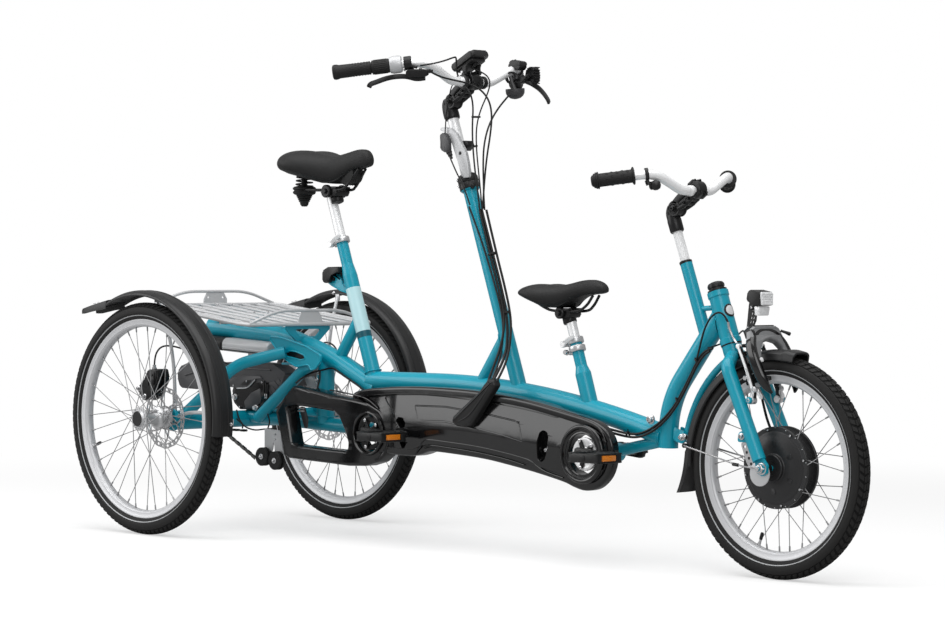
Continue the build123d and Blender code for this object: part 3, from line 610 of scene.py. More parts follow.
def wheel_point(hub, turn, radius, y):
    """A point at an angle and a radius from a wheel's axle, y to its left."""
    return hub + Vector((radius * cos(turn), y, radius * sin(turn))) * MM


def around_tyre(hub, radius, turn, lean, height):
    """A point on a tyre: lean is the angle across its crown, height is above the tread's base."""
    ball = TYRE_HALF - TREAD_DEPTH + height
    out = radius - TYRE_HALF + ball * cos(lean)
    return wheel_point(hub, turn, out, ball * sin(lean))


def tread_lug(piece, hub, radius, corners, steps=3):
    """A raised block of rubber: corners are (turn, lean) in radians, in order round it."""
    (a, b, c, d) = [Vector(corner) for corner in corners]
    middle = (a + b + c + d) / 4
    rows = []
    for height, shrink in ((-0.5, 1.0), (TREAD_DEPTH * 0.75, 0.97), (TREAD_DEPTH, 0.86)):
        a2, b2, c2, d2 = [middle + (corner - middle) * shrink for corner in (a, b, c, d)]
        edge = [a2.lerp(b2, k / steps) for k in range(steps)] + [b2]
        edge += [d2.lerp(c2, 1 - k / steps) for k in range(steps)] + [d2]
        rows.append([around_tyre(hub, radius, p.x, p.y, height) for p in edge])
    grid = [[piece.vert(point) for point in row] for row in rows]
    count = len(grid[0])
    faces = []
    for low, high in zip(grid, grid[1:]):
        for k in range(count):
            after = (k + 1) % count
            faces.append(piece.face(low[k], low[after], high[after], high[k]))
    top = grid[-1]
    for k in range(steps):
        faces.append(piece.face(top[k], top[k + 1], top[count - 2 - k], top[count - 1 - k]))
    piece.paint(faces, TYRE)


def tyre(name, body, node, radius, pitches):
    """A touring tyre: smooth sides with a light line, a ribbed crown and slanted shoulder lugs."""
    hub = centre(node)
    piece = Piece(name, body, "tyre_rubber")
    seat = radius - BEAD
    base = TYRE_HALF - TREAD_DEPTH
    side_profile = [(seat - 3, 10.5), (seat - 1, 13.6), (seat + 2.2, 14.4), (seat + 3.2, 15.6),
                    (seat + 6.0, 17.2), (seat + 10.6, 19.4)]
    leans = [100, 92, 84, 76, 68, 62]
    cheek = [(radius - TYRE_HALF + TYRE_HALF * cos(radians(v)), TYRE_HALF * sin(radians(v)) * 0.985)
             for v in leans]
    shoulder = [(radius - TYRE_HALF + base * cos(radians(v)), base * sin(radians(v)))
                for v in (56, 47, 37, 26, 13)]
    half = side_profile + cheek + shoulder[:1]
    # The tread's floor between the lugs is darker than the tyre's rubber: painted shade in the grooves.
    piece.lathe(hub, Y, [(r, -y) for r, y in shoulder] + [(radius - TREAD_DEPTH, 0)] + shoulder[::-1],
                SHADED_TREAD_FLOOR, SIDES)
    for side in (-1, 1):
        piece.lathe(hub, Y, [(r, side * y) for r, y in half], TYRE, SIDES)
        line = [(seat + 10.7, 19.7), (seat + 11.1, 20.2), (seat + 12.6, 21.2), (seat + 12.9, 20.8)]
        piece.lathe(hub, Y, [(r, side * y) for r, y in line], STRIPE, SIDES)
        ridge = [(seat + 15.7, 22.1), (seat + 16.2, 22.8), (seat + 17.0, 23.3), (seat + 17.5, 22.9)]
        piece.lathe(hub, Y, [(r, side * y) for r, y in ridge], TYRE, SIDES)
    pitch = 2 * pi / pitches
    for number in range(pitches):
        turn = number * pitch
        for side in (-1, 1):
            shift = turn + (0.5 * pitch if side > 0 else 0)
            inner, outer = side * radians(27), side * radians(53)
            tread_lug(piece, hub, radius, [(shift, inner), (shift + 0.62 * pitch, inner),
                (shift + 1.12 * pitch, outer), (shift + 0.42 * pitch, outer)])
            inner, outer = side * radians(10), side * radians(24.5)
            tread_lug(piece, hub, radius, [(shift - 0.1 * pitch, inner), (shift + 0.7 * pitch, inner),
                (shift + 0.56 * pitch, outer), (shift - 0.1 * pitch, outer)], 2)
        tread_lug(piece, hub, radius, [(turn, radians(-8)), (turn + 0.84 * pitch, radians(-6)),
            (turn + 0.84 * pitch, radians(8)), (turn, radians(6))], 2)
    piece.done(node)


def rim(piece, hub, radius):
    """A box-section rim with its brake tracks."""
    seat = radius - BEAD
    inner = seat - RIM_DEPTH
    half = [(inner, 0), (inner + 0.4, 4.5), (inner + 1.6, 8.6), (inner + 4.4, 11.8), (inner + 6.0, 12.6),
            (inner + 6.4, 13.5), (seat - 2.2, 14.4), (seat - 1.2, 15.0), (seat + 2.0, 15.0),
            (seat + 2.6, 14.2), (seat + 1.4, 13.2), (seat - 1.6, 12.8)]
    piece.lathe(hub, Y, [(r, -y) for r, y in half[:0:-1]] + half, RIM, SIDES)


def spokes(piece, hub, radius, hub_radius, flanges, lead):
    """Crossed steel spokes from the hub's flanges to their nipples, given the lead in degrees."""
    inner = radius - BEAD - RIM_DEPTH
    a_side = SPOKE_COUNT // 2
    for flange, shift in ((flanges[0], 0), (flanges[1], 0.5)):
        for number in range(a_side):
            hand = (-1) ** number
            outer = 2 * pi * (number + shift) / a_side
            start = outer + hand * radians(lead)
            low = wheel_point(hub, start, hub_radius, flange + hand * 1.6)
            high = wheel_point(hub, outer, inner + 1, 2 if flange > 0 else -2)
            reach = (high - low).normalized()
            piece.tube([low - reach * 2 * MM, high], 1.05, SPOKE, 6)
            piece.tube([high - reach * 13 * MM, high - reach * 12 * MM, high + reach * 2 * MM],
                       [1.3, 1.9, 2.1], SPOKE, 8)
            piece.disc(low - Y * (hand * 1.2 * MM), Y * hand, 2.0, 1.4, STEEL, 0.4, 10)


def valve(piece, hub, radius, turn):
    """The inner tube's valve with its cap."""
    inner = radius - BEAD - RIM_DEPTH
    out = Vector((cos(turn), 0, sin(turn)))
    foot = hub + out * (inner + 2) * MM
    piece.lathe(foot, -out, [(4.2, 0), (4.2, 2.5), (3.1, 3), (3.1, 18), (0, 18)], STEEL, 16)
    piece.lathe(foot, -out, [(3.9, 17), (4.1, 30), (3.2, 33), (0, 33.4)], PLASTIC, 16)


def rotor(piece, hub, y, radius):
    """A slotted disc brake rotor on its six bolts."""
    cells, thick, faces = 96, 1.0, []
    inner = radius - 13
    grid = []
    for k in range(cells):
        turn = 2 * pi * k / cells
        wave = 0.9 * cos(turn * 12)
        grid.append([[piece.vert(wheel_point(hub, turn + (r - inner) * 0.004, r + wave, y + side * thick))
                      for r in (inner, inner + 3.2, radius - 3.6, radius)] for side in (-1, 1)])

    def face(*corners):
        faces.append(piece.face(*corners))

    for k in range(cells):
        here, after = grid[k], grid[(k + 1) % cells]
        slotted = [0, 3]
        for band in range(3):
            if band == 1 and k % 4 in (1, 2):
                slotted += [1, 2]
                continue
            for side in (0, 1):
                face(here[side][band], here[side][band + 1], after[side][band + 1], after[side][band])
        for end, number in ((here, 3), (after, 0)):
            if k % 4 == number:
                face(end[0][1], end[0][2], end[1][2], end[1][1])
        for edge in slotted:
            face(here[0][edge], after[0][edge], after[1][edge], here[1][edge])
    piece.paint(faces, STEEL)
    for k in range(12):
        turn = 2 * pi * k / 12
        way = 0.5 if k % 2 else -0.5
        arm = [wheel_point(hub, turn + way * (1 - t) * 1.1, 28 + (inner - 27) * t, y)
               for t in (0, 0.25, 0.5, 0.75, 1)]
        piece.sweep(arm, oblong(2.4, 1, 0.3, 2), 1.0, STEEL, up=Y)
    piece.lathe(hub + Y * (y * MM), Y, [(22, -1.2), (31, -1.2), (31.4, 0), (31, 1.2), (22, 1.2)],
                STEEL, 36, True)
    for k in range(6):
        spot = wheel_point(hub, 2 * pi * k / 6, 22.5, y)
        for way in (-1, 1):
            piece.bolt(spot + Y * way * 1.0 * MM, Y * way, 2.6, STEEL, False)


def rear_wheel(hand, side):
    """A rear wheel: rim, spokes, driven hub with two flanges, brake rotor and axle cap."""
    hub = centre(f"{hand}_tyre")
    body = f"{hand}_rear_wheel"
    piece = Piece(f"{hand}_wheel_built", body, "bright_aluminium")
    rim(piece, hub, REAR_RADIUS)
    spokes(piece, hub, REAR_RADIUS, 27, (side * 23, -side * 37), 58)
    valve(piece, hub, REAR_RADIUS, radians(200))
    axle = Vector((hub.x, 0, hub.z))
    shell = [(9, 279), (24, 279), (27, 281), (27, 286), (19, 291), (19, 300), (22, 302.5), (30, 304),
             (31, 305), (31, 307.6), (30, 308.6), (24, 309.4), (20.5, 312), (17.5, 318), (15.5, 330),
             (15.5, 342), (17.5, 354), (20.5, 360), (24, 363), (30, 364), (31, 365), (31, 367.6),
             (30, 368.6), (22, 369), (20.5, 372), (19.5, 374.4)]
    piece.lathe(axle, Y * side, shell, CAST, 56)
    piece.lathe(axle, Y * side, [(19.5, 374.4), (19, 375), (0, 375)], PLASTIC, 48)
    for flange in (306.2, 366.2):
        for k in range(18):
            spot = wheel_point(hub, 2 * pi * (k + 0.25) / 18, 25.4, side * (flange + 2.6) - hub.y / MM)
            piece.disc(spot, Y * side, 1.2, 0.3, PLASTIC, 0.1, 8)
    rotor(piece, hub, side * 283 - hub.y / MM, 80)
    piece.done(f"{hand}_wheel")


MOTOR_MIDDLE = 6


def front_wheel():
    """The front wheel's rim and spokes."""
    hub = centre("front_tyre")
    piece = Piece("front_wheel_built", "front_wheel", "bright_aluminium")
    rim(piece, hub, FRONT_RADIUS)
    spokes(piece, hub, FRONT_RADIUS, 89, (MOTOR_MIDDLE - 18, MOTOR_MIDDLE + 18), 14)
    valve(piece, hub, FRONT_RADIUS, radians(252))
    piece.done("front_rim")


def hub_motor():
    """The hub motor: two flanged covers with stepped faces, bolts and cooling ribs, round a barrel."""
    hub = centre("front_tyre")
    piece = Piece("hub_motor_built", "front_wheel", "motor_black")
    middle = hub + Y * MOTOR_MIDDLE * MM
    half = [(79, 0), (80, 8), (81, 12), (84, 13.6), (91.2, 14.2), (92, 15), (92, 20.2), (91.2, 21),
            (82, 21.2), (80.4, 22.4), (77, 23.6), (69, 24.2), (67.4, 25.4), (44, 26.8), (33, 27.6)]
    boss = [(31.4, 29), (30.6, 34.6), (29, 36), (17, 36), (16, 34.6), (6.2, 34.6)]
    flat = [(30, 28), (13, 28), (12.4, 27), (6.2, 27)]
    piece.lathe(middle, Y, [(r, -y) for r, y in (half + boss)[::-1]] + half[1:] + flat, MOTOR, 96)
    for side in (-1, 1):
        for k in range(8):
            spot = wheel_point(middle, 2 * pi * (k + 0.3) / 8, 85.6, side * 21.2)
            piece.bolt(spot, Y * side, 2.6, STEEL, False)
        for k in range(18):
            spot = wheel_point(middle, 2 * pi * (k + 0.5) / 18, 89.4, side * 20.9)
            piece.disc(spot, Y * side, 1.2, 0.4, STEEL, 0.1, 8)
        for k in range(6):
            turn = 2 * pi * (k + 0.5) / 6
            spread = [(46, turn - 0.12), (60, turn - 0.09), (60, turn + 0.09), (46, turn + 0.12)]
            outline = [(r * cos(a), r * sin(a)) for r, a in spread]
            piece.solid(rounded(outline, 3), lambda a, b,
                        d: middle + Vector((a, side * (25.4 + d), b)) * MM, 1.6, MOTOR, 0.5)
    piece.done("hub_motor")


for hand, side in (("right", -1), ("left", 1)):
    tyre(f"{hand}_tyre_built", f"{hand}_rear_wheel", f"{hand}_tyre", REAR_RADIUS, 104)
tyre("front_tyre_built", "front_wheel", "front_tyre", FRONT_RADIUS, 87)
rear_wheel("right", -1)
rear_wheel("left", 1)
front_wheel()
hub_motor()

# Chaincases and the cable guide on the right side.


def inset(outline, distance):
    """A closed outline moved inwards by a distance in millimetres."""
    if not distance:
        return outline
    points = [Vector(point) for point in outline]
    area = sum(a.x * b.y - b.x * a.y for a, b in zip(points, points[1:] + points[:1]))
    hand = 1 if area > 0 else -1
    moved = []
    for before, here, after in zip(points[-1:] + points[:-1], points, points[1:] + points[:1]):
        ahead = (after - here).normalized() + (here - before).normalized()
        if ahead.length < 0.05:
            ahead = after - here
        ahead.normalize()
        inward = Vector((-ahead.y, ahead.x)) * hand
        moved.append(here + inward * distance)
    return [tuple(point) for point in moved]


def loop_of(points, steps=6):
    """A closed smooth outline through points."""
    count = len(points)
    points = [Vector(point) for point in points]
    outline = []
    for number in range(count):
        a, b = points[number - 1], points[number]
        c, d = points[(number + 1) % count], points[(number + 2) % count]
        for step in range(steps):
            t = step / steps
            outline.append(tuple(0.5 * (2 * b + (c - a) * t + (2 * a - 5 * b + 4 * c - d) * t ** 2
                + (3 * b - a - 3 * c + d) * t ** 3)))
    return outline


def cut_face(piece, outline, holes, surface, material, cell=0):
    """A face of an outline with holes, its points put on a surface y = surface(x, z).

    With a cell size in millimetres, it is divided so that it follows a curved surface."""
    loops = [outline, *holes]
    curve = bpy.data.curves.new("flat", "CURVE")
    curve.dimensions = "2D"
    curve.fill_mode = "FRONT"
    for loop in loops:
        line = curve.splines.new("POLY")
        line.points.add(len(loop) - 1)
        for point, (x, z) in zip(line.points, loop):
            point.co = (x, z, 0, 1)
        line.use_cyclic_u = True
    holder = add_object("flat", curve)
    bpy.context.view_layer.update()
    mesh = bpy.data.meshes.new_from_object(holder.evaluated_get(bpy.context.evaluated_depsgraph_get()))
    bpy.data.objects.remove(holder)
    bpy.data.curves.remove(curve)
    flat = bmesh.new()
    flat.from_mesh(mesh)
    bpy.data.meshes.remove(mesh)
    for way, spacing in ((X, cell), (Y, cell / 2)) if cell else ():
        spots = [vert.co.dot(way) for vert in flat.verts]
        for number in range(ceil(min(spots) / spacing), ceil(max(spots) / spacing)):
            bmesh.ops.bisect_plane(flat, geom=flat.verts[:] + flat.edges[:] + flat.faces[:],
                plane_co=way * number * spacing, plane_no=way)
    verts = {v: piece.vert(at(v.co.x, surface(v.co.x, v.co.y), v.co.y)) for v in flat.verts}
    faces = [piece.face(*(verts[v] for v in face.verts)) for face in flat.faces]
    flat.free()
    piece.paint(faces, material)
    return faces


def wall(piece, outline, levels, material, caps=False):
    """A wall along an outline: levels are (inset, y or a surface), from the part's back to its front."""
    piece.rings([[at(x, level(x, z) if callable(level) else level, z) for x, z in inset(outline, distance)]
                 for distance, level in levels], material, caps)


def crown(x, z):
    """The long chaincase's face: it leans back towards its upper edge and is steeper below its break."""
    share = min(max((x - 600) / 800, 0), 1)
    above = z - (309 - 12 * share - 44 * share ** 2)
    back = min(max((668 - x) * 0.12, 0), 9)
    if above > 0:
        return back - 93.5 + 0.0009 * above ** 2 + 0.1 * above
    return back - 93.5 + 0.0010 * above ** 2 - 0.03 * above


LONG_OUTLINE = [(560, 330), (512, 352), (506, 372), (530, 383), (590, 391), (680, 397), (766, 399),
                (864, 398), (948, 395), (1024, 389), (1118, 379), (1210, 364), (1270, 353), (1318, 344),
                (1352, 334), (1380, 317), (1398, 292), (1403, 262), (1398, 230), (1381, 202), (1350, 180),
                (1312, 173), (1278, 179), (1241, 190), (1150, 207), (1056, 221), (974, 231), (865, 238),
                (790, 240), (752, 231), (720, 226), (653, 227), (612, 236), (600, 290)]
FRONT_HOLE = (1314, 259)


def long_chaincase():
    """The long chaincase: a gloss shell with a land round its edge, a framed panel and a ringed opening."""
    piece = Piece("long_chaincase_built", "frame", "gloss_black")
    outline = loop_of(LONG_OUTLINE, 5)
    hole = circle(*FRONT_HOLE, 47)

    def back(x, z):
        return -44.0 - 18.6 * min(max((x - 1190) / 40, 0), 1)

    wall(piece, outline, [(0, back), (0, -76), (0.6, -80), (2.2, -83), (5.0, -84.6), (7.5, -85)], GLOSS)
    land = inset(outline, 7.5)
    inner = inset(outline, 17)
    ring = circle(*FRONT_HOLE, 70)
    slot = rounded([(1166, 240), (1178, 233), (1190, 240), (1201, 262), (1203, 294), (1196, 307),
                    (1183, 310), (1172, 304), (1166, 284)], 9, 3)
    low = rounded([(682, 268), (690, 246), (700, 243), (710, 254), (708, 276), (694, 286)], 6, 3)
    high = rounded([(674, 312), (684, 322), (700, 321), (712, 308), (708, 296), (690, 294)], 6, 3)
    panel = rounded([(737, 354), (847, 355), (988, 343), (1089, 330), (1106, 320), (1121, 277), (1052, 290),
                     (938, 306), (847, 315), (757, 313)], [5, 60, 60, 8, 8, 6, 60, 60, 60, 8], 4)
    cut_face(piece, land, [inner], lambda x, z: -85.0, GLOSS)
    wall(piece, inner, [(0, -85.0), (0.8, -87.0), (2.2, crown)], GLOSS)
    face = inset(inner, 2.2)
    cut_face(piece, face, [ring, slot, low, high, panel], crown, GLOSS, 16)

    def sunk(x, z):
        return crown(x, z) + 1.5

    wall(piece, panel, [(0, crown), (0.8, lambda x, z: crown(x, z) + 1.3), (1.6, sunk)], GLOSS)
    fill = inset(panel, 1.6)
    wall(piece, fill, [(0, sunk), (1.6, sunk), (2.8, lambda x, z: crown(x, z) - 0.1)], GLOSS)
    cut_face(piece, inset(fill, 2.8), [], lambda x, z: crown(x, z) - 0.1, GLOSS, 16)
    for pocket in (slot, low, high):
        wall(piece, pocket, [(0, crown), (1.2, lambda x, z: crown(x, z) + 2.0), (2.0, -80),
                             (2.0, -72)], GLOSS)
        cut_face(piece, inset(pocket, 2.0), [], lambda x, z: -72.0, GLOSS)
    piece.bolt(at(1181, -72, 262), -Y, 5.0)
    rings = [(70, crown(*FRONT_HOLE)), (69, -96.5), (66.5, -98.5), (63, -99), (60.5, -98), (59.3, -95.5),
             (58, -93.5), (54, -93), (52, -94.5), (49.5, -94.8), (47.6, -93.2), (47, -90),
             (47, back(*FRONT_HOLE))]
    piece.lathe(at(FRONT_HOLE[0], 0, FRONT_HOLE[1]), Y, rings, GLOSS, 96)
    cut_face(piece, outline, [hole], back, GLOSS)
    lip = [(740, 232), (757, 248), (772, 264), (795, 270), (871, 267), (968, 261), (1062, 250), (1135, 238),
           (1161, 225), (1192, 212), (1247, 200)]
    path = smooth_path([at(x, crown(x, z) - 0.2, z) for x, z in lip], 5)
    piece.tube(path, 1.5, GLOSS, 8)
    lower = [(770, 247), (804, 256), (869, 253), (966, 246), (1060, 235), (1120, 224)]
    path = smooth_path([at(x, crown(x, z) + 0.2, z) for x, z in lower], 5)
    piece.tube(path, 1.2, GLOSS, 8)
    seam = [(672, 318), (664, 334), (628, 362), (634, 372), (694, 377), (761, 379), (847, 377), (937, 372),
            (1064, 362), (1157, 351), (1214, 342), (1226, 342), (1240, 347), (1296, 340), (1337, 331),
            (1367, 316), (1385, 290)]
    path = smooth_path([at(x, crown(x, z) - 0.3, z) for x, z in seam], 4)
    piece.tube(path, 1.4, GLOSS, 8)
    piece.done("long_chaincase")


def rear_chaincase():
    """The rear chaincase: a ring round the crank's opening and an open four-sided frame behind it."""
    piece = Piece("rear_chaincase_built", "frame", "gloss_black")
    corners = [(211, 320), (246, 358), (280, 387), (349, 380), (430, 368), (505, 361), (563, 354),
               (612, 334), (640, 300), (648, 264), (634, 228), (601, 205), (554, 193), (492, 190),
               (419, 193), (330, 196), (262, 199), (248, 206), (223, 282)]
    radii = [10, 60, 14, 200, 200, 200, 40, 40, 40, 40, 40, 40, 40, 60, 200, 60, 10, 10, 40]
    outline = rounded(corners, radii, 4)
    opening = rounded([(254, 331), (298, 336), (367, 332), (440, 326), (462, 310), (482, 278), (494, 250),
                       (493, 234), (480, 228), (417, 229), (300, 233), (277, 236)],
                      [8, 20, 60, 10, 12, 60, 12, 8, 8, 60, 30, 10], 3)
    hole_x, hole_z = 571, 276
    ring = circle(hole_x, hole_z, 56)

    def front(x, z):
        return -91.5 + 0.00012 * (x - 430) ** 2 + 0.018 * max(z - 345, 0)

    back = -46.0
    wall(piece, outline, [(0, back), (0, -80), (1.0, -85), (4.0, -88.4), (8.5, front)], GLOSS)
    wall(piece, opening, [(-6.5, front), (-2.5, -88.6), (0, -85), (0, back)], GLOSS)
    cut_face(piece, inset(outline, 8.5), [inset(opening, -6.5), ring], front, GLOSS, 16)
    cut_face(piece, outline, [opening, circle(hole_x, hole_z, 46)], lambda x, z: back, GLOSS)
    lip = [(56, front(hole_x, hole_z)), (54.5, -93.5), (52, -94.6), (49.5, -94), (48, -92), (47, -86),
           (46, -80), (46, back)]
    piece.lathe(at(hole_x, 0, hole_z), Y, lip, GLOSS, 96)
    joint = [(602, 340), (560, 362), (500, 372), (420, 380)]
    piece.tube(smooth_path([at(x, -84, z) for x, z in joint], 5), 2.0, GLOSS, 8)
    plate = rounded([(266, 332), (284, 330), (296, 298), (294, 276), (284, 276), (266, 318)], 5, 3)
    piece.prism(plate, -50, -47, DARK, 0.5)
    for rise in (0, 7):
        piece.block(at(272, -51, 327 - rise), (24, 6, 4.4), SILVER, 1)
    piece.done("rear_chaincase")


def cable_guide():
    """The moulded wing that covers the cables on the chaincase."""
    piece = Piece("cable_guide_built", "frame", "black_plastic")
    outline = rounded([(1016, 428), (1034, 424), (1040, 410), (1010, 376), (972, 330), (956, 312),
                       (938, 307), (906, 308), (889, 318), (894, 332), (930, 358), (980, 392)],
                      [5, 5, 8, 60, 20, 12, 12, 10, 8, 8, 60, 60], 4)
    wall(piece, outline, [(0, -88), (0, -101), (1.5, -105.5), (4.5, -108.5), (9, -110.2)],
         PLASTIC, caps=True)
    ridge = route([(1030, -108, 418), (990, -110.5, 372), (952, -110.5, 336), (912, -109.5, 318)], 6)
    piece.tube(ridge, [2.2] * (len(ridge) - 3) + [1.8, 1.2, 0.5], PLASTIC, 8)
    piece.done("cable_guide")


long_chaincase()
rear_chaincase()
cable_guide()

# Saddles: gel covers on plastic bases with rails, springs and clamps.


def through(points, x):
    """The height at x of a smooth line through (x, height) points."""
    if x <= points[0][0]:
        return points[0][1]
    for number in range(len(points) - 1):
        (x1, y1), (x2, y2) = points[number], points[number + 1]
        if x <= x2:
            before = points[max(number - 1, 0)]
            after = points[min(number + 2, len(points) - 1)]
            slope1 = (y2 - before[1]) / (x2 - before[0])
            slope2 = (after[1] - y1) / (after[0] - x1)
            span = x2 - x1
            t = (x - x1) / span
            return ((2 * t ** 3 - 3 * t ** 2 + 1) * y1 + (t ** 3 - 2 * t ** 2 + t) * span * slope1
                    + (3 * t ** 2 - 2 * t ** 3) * y2 + (t ** 3 - t ** 2) * span * slope2)
    return points[-1][1]


def saddle_cover(name, node, start, stop, width, top, skirt, dip):
    """A padded cover: width, top, skirt and dip are lines of (share of the length, millimetres)."""
    piece = Piece(name, "frame", "saddle_cover")
    stations, around = 44, 40
    rows = []
    for number in range(stations + 1):
        share = 0.5 - 0.5 * cos(pi * number / stations)
        x = start + (stop - start) * share
        half = through(width, share)
        crest, hem = through(top, share), through(skirt, share)
        sink = through(dip, share)
        row = []
        for step in range(around):
            turn = 2 * pi * step / around
            side, up = sin(turn), cos(turn)
            if up >= 0:
                flat = abs(side) ** 0.86 * (1 if side >= 0 else -1)
                height = hem + (0.37 + 0.63 * up ** 0.85) * (crest - hem)
                height -= sink * max(0, 1 - abs(side) * 2.6) ** 2
                row.append(at(x, half * flat, height))
            else:
                tuck = 1 - 0.16 * abs(up) ** 0.8
                flat = abs(side) ** 0.5 * (1 if side >= 0 else -1)
                height = hem + 0.37 * (crest - hem) * (1 - abs(up) ** 0.55)
                row.append(at(x, half * flat * tuck, height))
        rows.append(row)
    piece.rings(rows, COVER)
    made = piece.done(node, subdivide=1, sharp=radians(80))
    return made


def saddle_hem(name, start, stop, width, skirt):
    """The plastic base's rim below a cover."""
    piece = Piece(name, "frame", "black_plastic")
    near, far = [], []
    for number in range(25):
        share = 0.5 - 0.5 * cos(pi * number / 24)
        x = start + 6 + (stop - start - 12) * share
        half = max(through(width, share) * 0.76 - 3, 3)
        height = through(skirt, share) + 4
        near.append(at(x, -half, height))
        far.append(at(x, half, height))
    piece.tube(near + far[::-1], 3.4, PLASTIC, 8, loop=True)
    piece.done()


REAR_WIDTH = [(0, 52), (0.02, 74), (0.06, 90), (0.13, 102), (0.22, 104), (0.34, 92), (0.46, 68), (0.58, 46),
              (0.7, 34), (0.84, 26), (0.94, 20), (0.985, 13), (1, 6)]
REAR_TOP = [(0, 970), (0.03, 985), (0.08, 994), (0.16, 997), (0.3, 995), (0.45, 985), (0.56, 980),
            (0.7, 986), (0.85, 994), (0.94, 992), (0.98, 982), (1, 970)]
REAR_SKIRT = [(0, 941), (0.04, 938), (0.12, 934), (0.28, 925), (0.42, 914), (0.52, 907), (0.6, 909),
              (0.7, 924), (0.8, 938), (0.9, 946), (0.97, 950), (1, 958)]
REAR_DIP = [(0, 2), (0.1, 5), (0.35, 4), (0.6, 3), (0.85, 1), (1, 0)]
saddle_cover("rear_saddle_cover", "rear_saddle", 201, 483, REAR_WIDTH, REAR_TOP, REAR_SKIRT, REAR_DIP)
saddle_hem("rear_saddle_base", 206, 480, REAR_WIDTH, REAR_SKIRT)

FRONT_WIDTH = [(0, 38), (0.02, 56), (0.06, 68), (0.13, 77), (0.22, 78), (0.34, 69), (0.46, 52), (0.58, 38),
               (0.7, 29), (0.84, 22), (0.94, 17), (0.985, 11), (1, 5)]
FRONT_TOP = [(0, 634), (0.03, 644), (0.08, 651), (0.18, 656), (0.3, 656), (0.44, 653.5), (0.56, 657),
             (0.7, 664), (0.82, 666), (0.92, 661), (0.98, 652), (1, 643)]
FRONT_SKIRT = [(0, 628), (0.04, 624), (0.12, 618), (0.26, 605), (0.36, 598), (0.48, 600), (0.58, 612),
               (0.7, 624), (0.82, 630), (0.92, 632), (0.98, 635), (1, 638)]
FRONT_DIP = [(0, 2), (0.1, 5), (0.35, 5), (0.6, 3), (0.85, 1), (1, 0)]
saddle_cover("front_saddle_cover", "front_saddle", 1062, 1305, FRONT_WIDTH, FRONT_TOP,
             FRONT_SKIRT, FRONT_DIP)
saddle_hem("front_saddle_base", 1068, 1299, FRONT_WIDTH, FRONT_SKIRT)


def rail(piece, points, radius=3.6):
    """A saddle rail and its mirror image."""
    for side in (-1, 1):
        path = smooth_path([at(x, side * y, z) for x, y, z in points], 6)
        piece.tube(path, radius, METAL, 12)


def post_clamp(piece, top, lean, size):
    """A saddle clamp on a post's top: a toothed body, its cheeks, the cross bolt and its nuts."""
    body = [(a * size, b * size)
            for a, b in rounded([(-24, -12), (24, -12), (28, 0), (20, 11), (-20, 11), (-28, 0)], 7, 3)]
    half = 21 * size
    piece.solid(body, lambda a, b, d: top + (X * a + Z * b + Y * (d - half)) * MM, 2 * half, METAL, 3)
    piece.plug(top - lean * 28 * size * MM, lean, [(15, 0), (16.5, 3), (16.5, 22), (13, 28)], METAL, 32)
    for side in (-1, 1):
        piece.plug(top + (Y * side * half * 0.9 - X * 4) * MM, Y * side,
                   [(14 * size, 0), (15 * size, 2), (15 * size, 9), (13 * size, 11)], METAL, 30)
        piece.nut(top + (Y * side * (half * 0.9 + 10) - X * 4) * MM, Y * side, 13, 7, METAL)
        piece.block(top + (Y * side * 20 + Z * 8 + X * 6) * MM, (44 * size, 12, 7), METAL, 2.5)


def saddle_clamps():
    """Rails, cone springs and the clamps that hold each saddle on its post."""
    piece = Piece("saddle_clamps_built", "frame", "black_metal")
    rail(piece, [(226, 14, 893), (300, 18, 892), (380, 20, 891), (404, 17, 899), (428, 14, 922),
                 (448, 12, 944)])
    base = at(224, 0, 850)
    cone = [(0, 0), (7, 0.5), (10.5, 5), (12, 12)]
    for fold in range(4):
        z, r = 12 + fold * 4.6, 13 + fold * 2.2
        cone += [(r, z), (r + 1.6, z + 1.2), (r + 1.8, z + 2.6), (r + 0.4, z + 3.8)]
    cone += [(24, 31), (28, 33), (30, 36), (30, 39), (27, 41), (27, 43), (30.5, 45), (30.5, 49), (26, 52),
             (18, 54), (10, 55), (8, 57), (8, 96), (0, 96)]
    piece.lathe(base, Z, cone, GRIP, 40)
    coil = []
    for step in range(145):
        turn, lift = 2 * pi * 4 * step / 144, step / 144
        r = 22 - 3 * lift
        coil.append(base + Vector((r * cos(turn), r * sin(turn), 52 + 38 * lift)) * MM)
    piece.tube(coil, 2.1, METAL, 8)
    post_clamp(piece, at(345, 0, 888), REAR_LEAN, 1.12)
    nose = rounded([(382, 910), (402, 902), (424, 912), (434, 930), (430, 948), (392, 950),
                    (384, 930)], 7, 3)
    piece.prism(nose, -19, 19, GRIP, 3)
    for k in range(5):
        y = -16 + k * 8
        piece.tube([at(386, y, 912), at(402, y, 903), at(424, y, 913), at(433, y, 934)], 1.6, GRIP, 8)
    rail(piece, [(1098, 34, 616), (1120, 24, 600), (1150, 19, 591), (1222, 17, 591), (1250, 13, 604),
                 (1270, 11, 628)], 3.4)
    post_clamp(piece, at(1178, 0, 586), FRONT_LEAN, 0.95)
    piece.done("saddle_clamps")


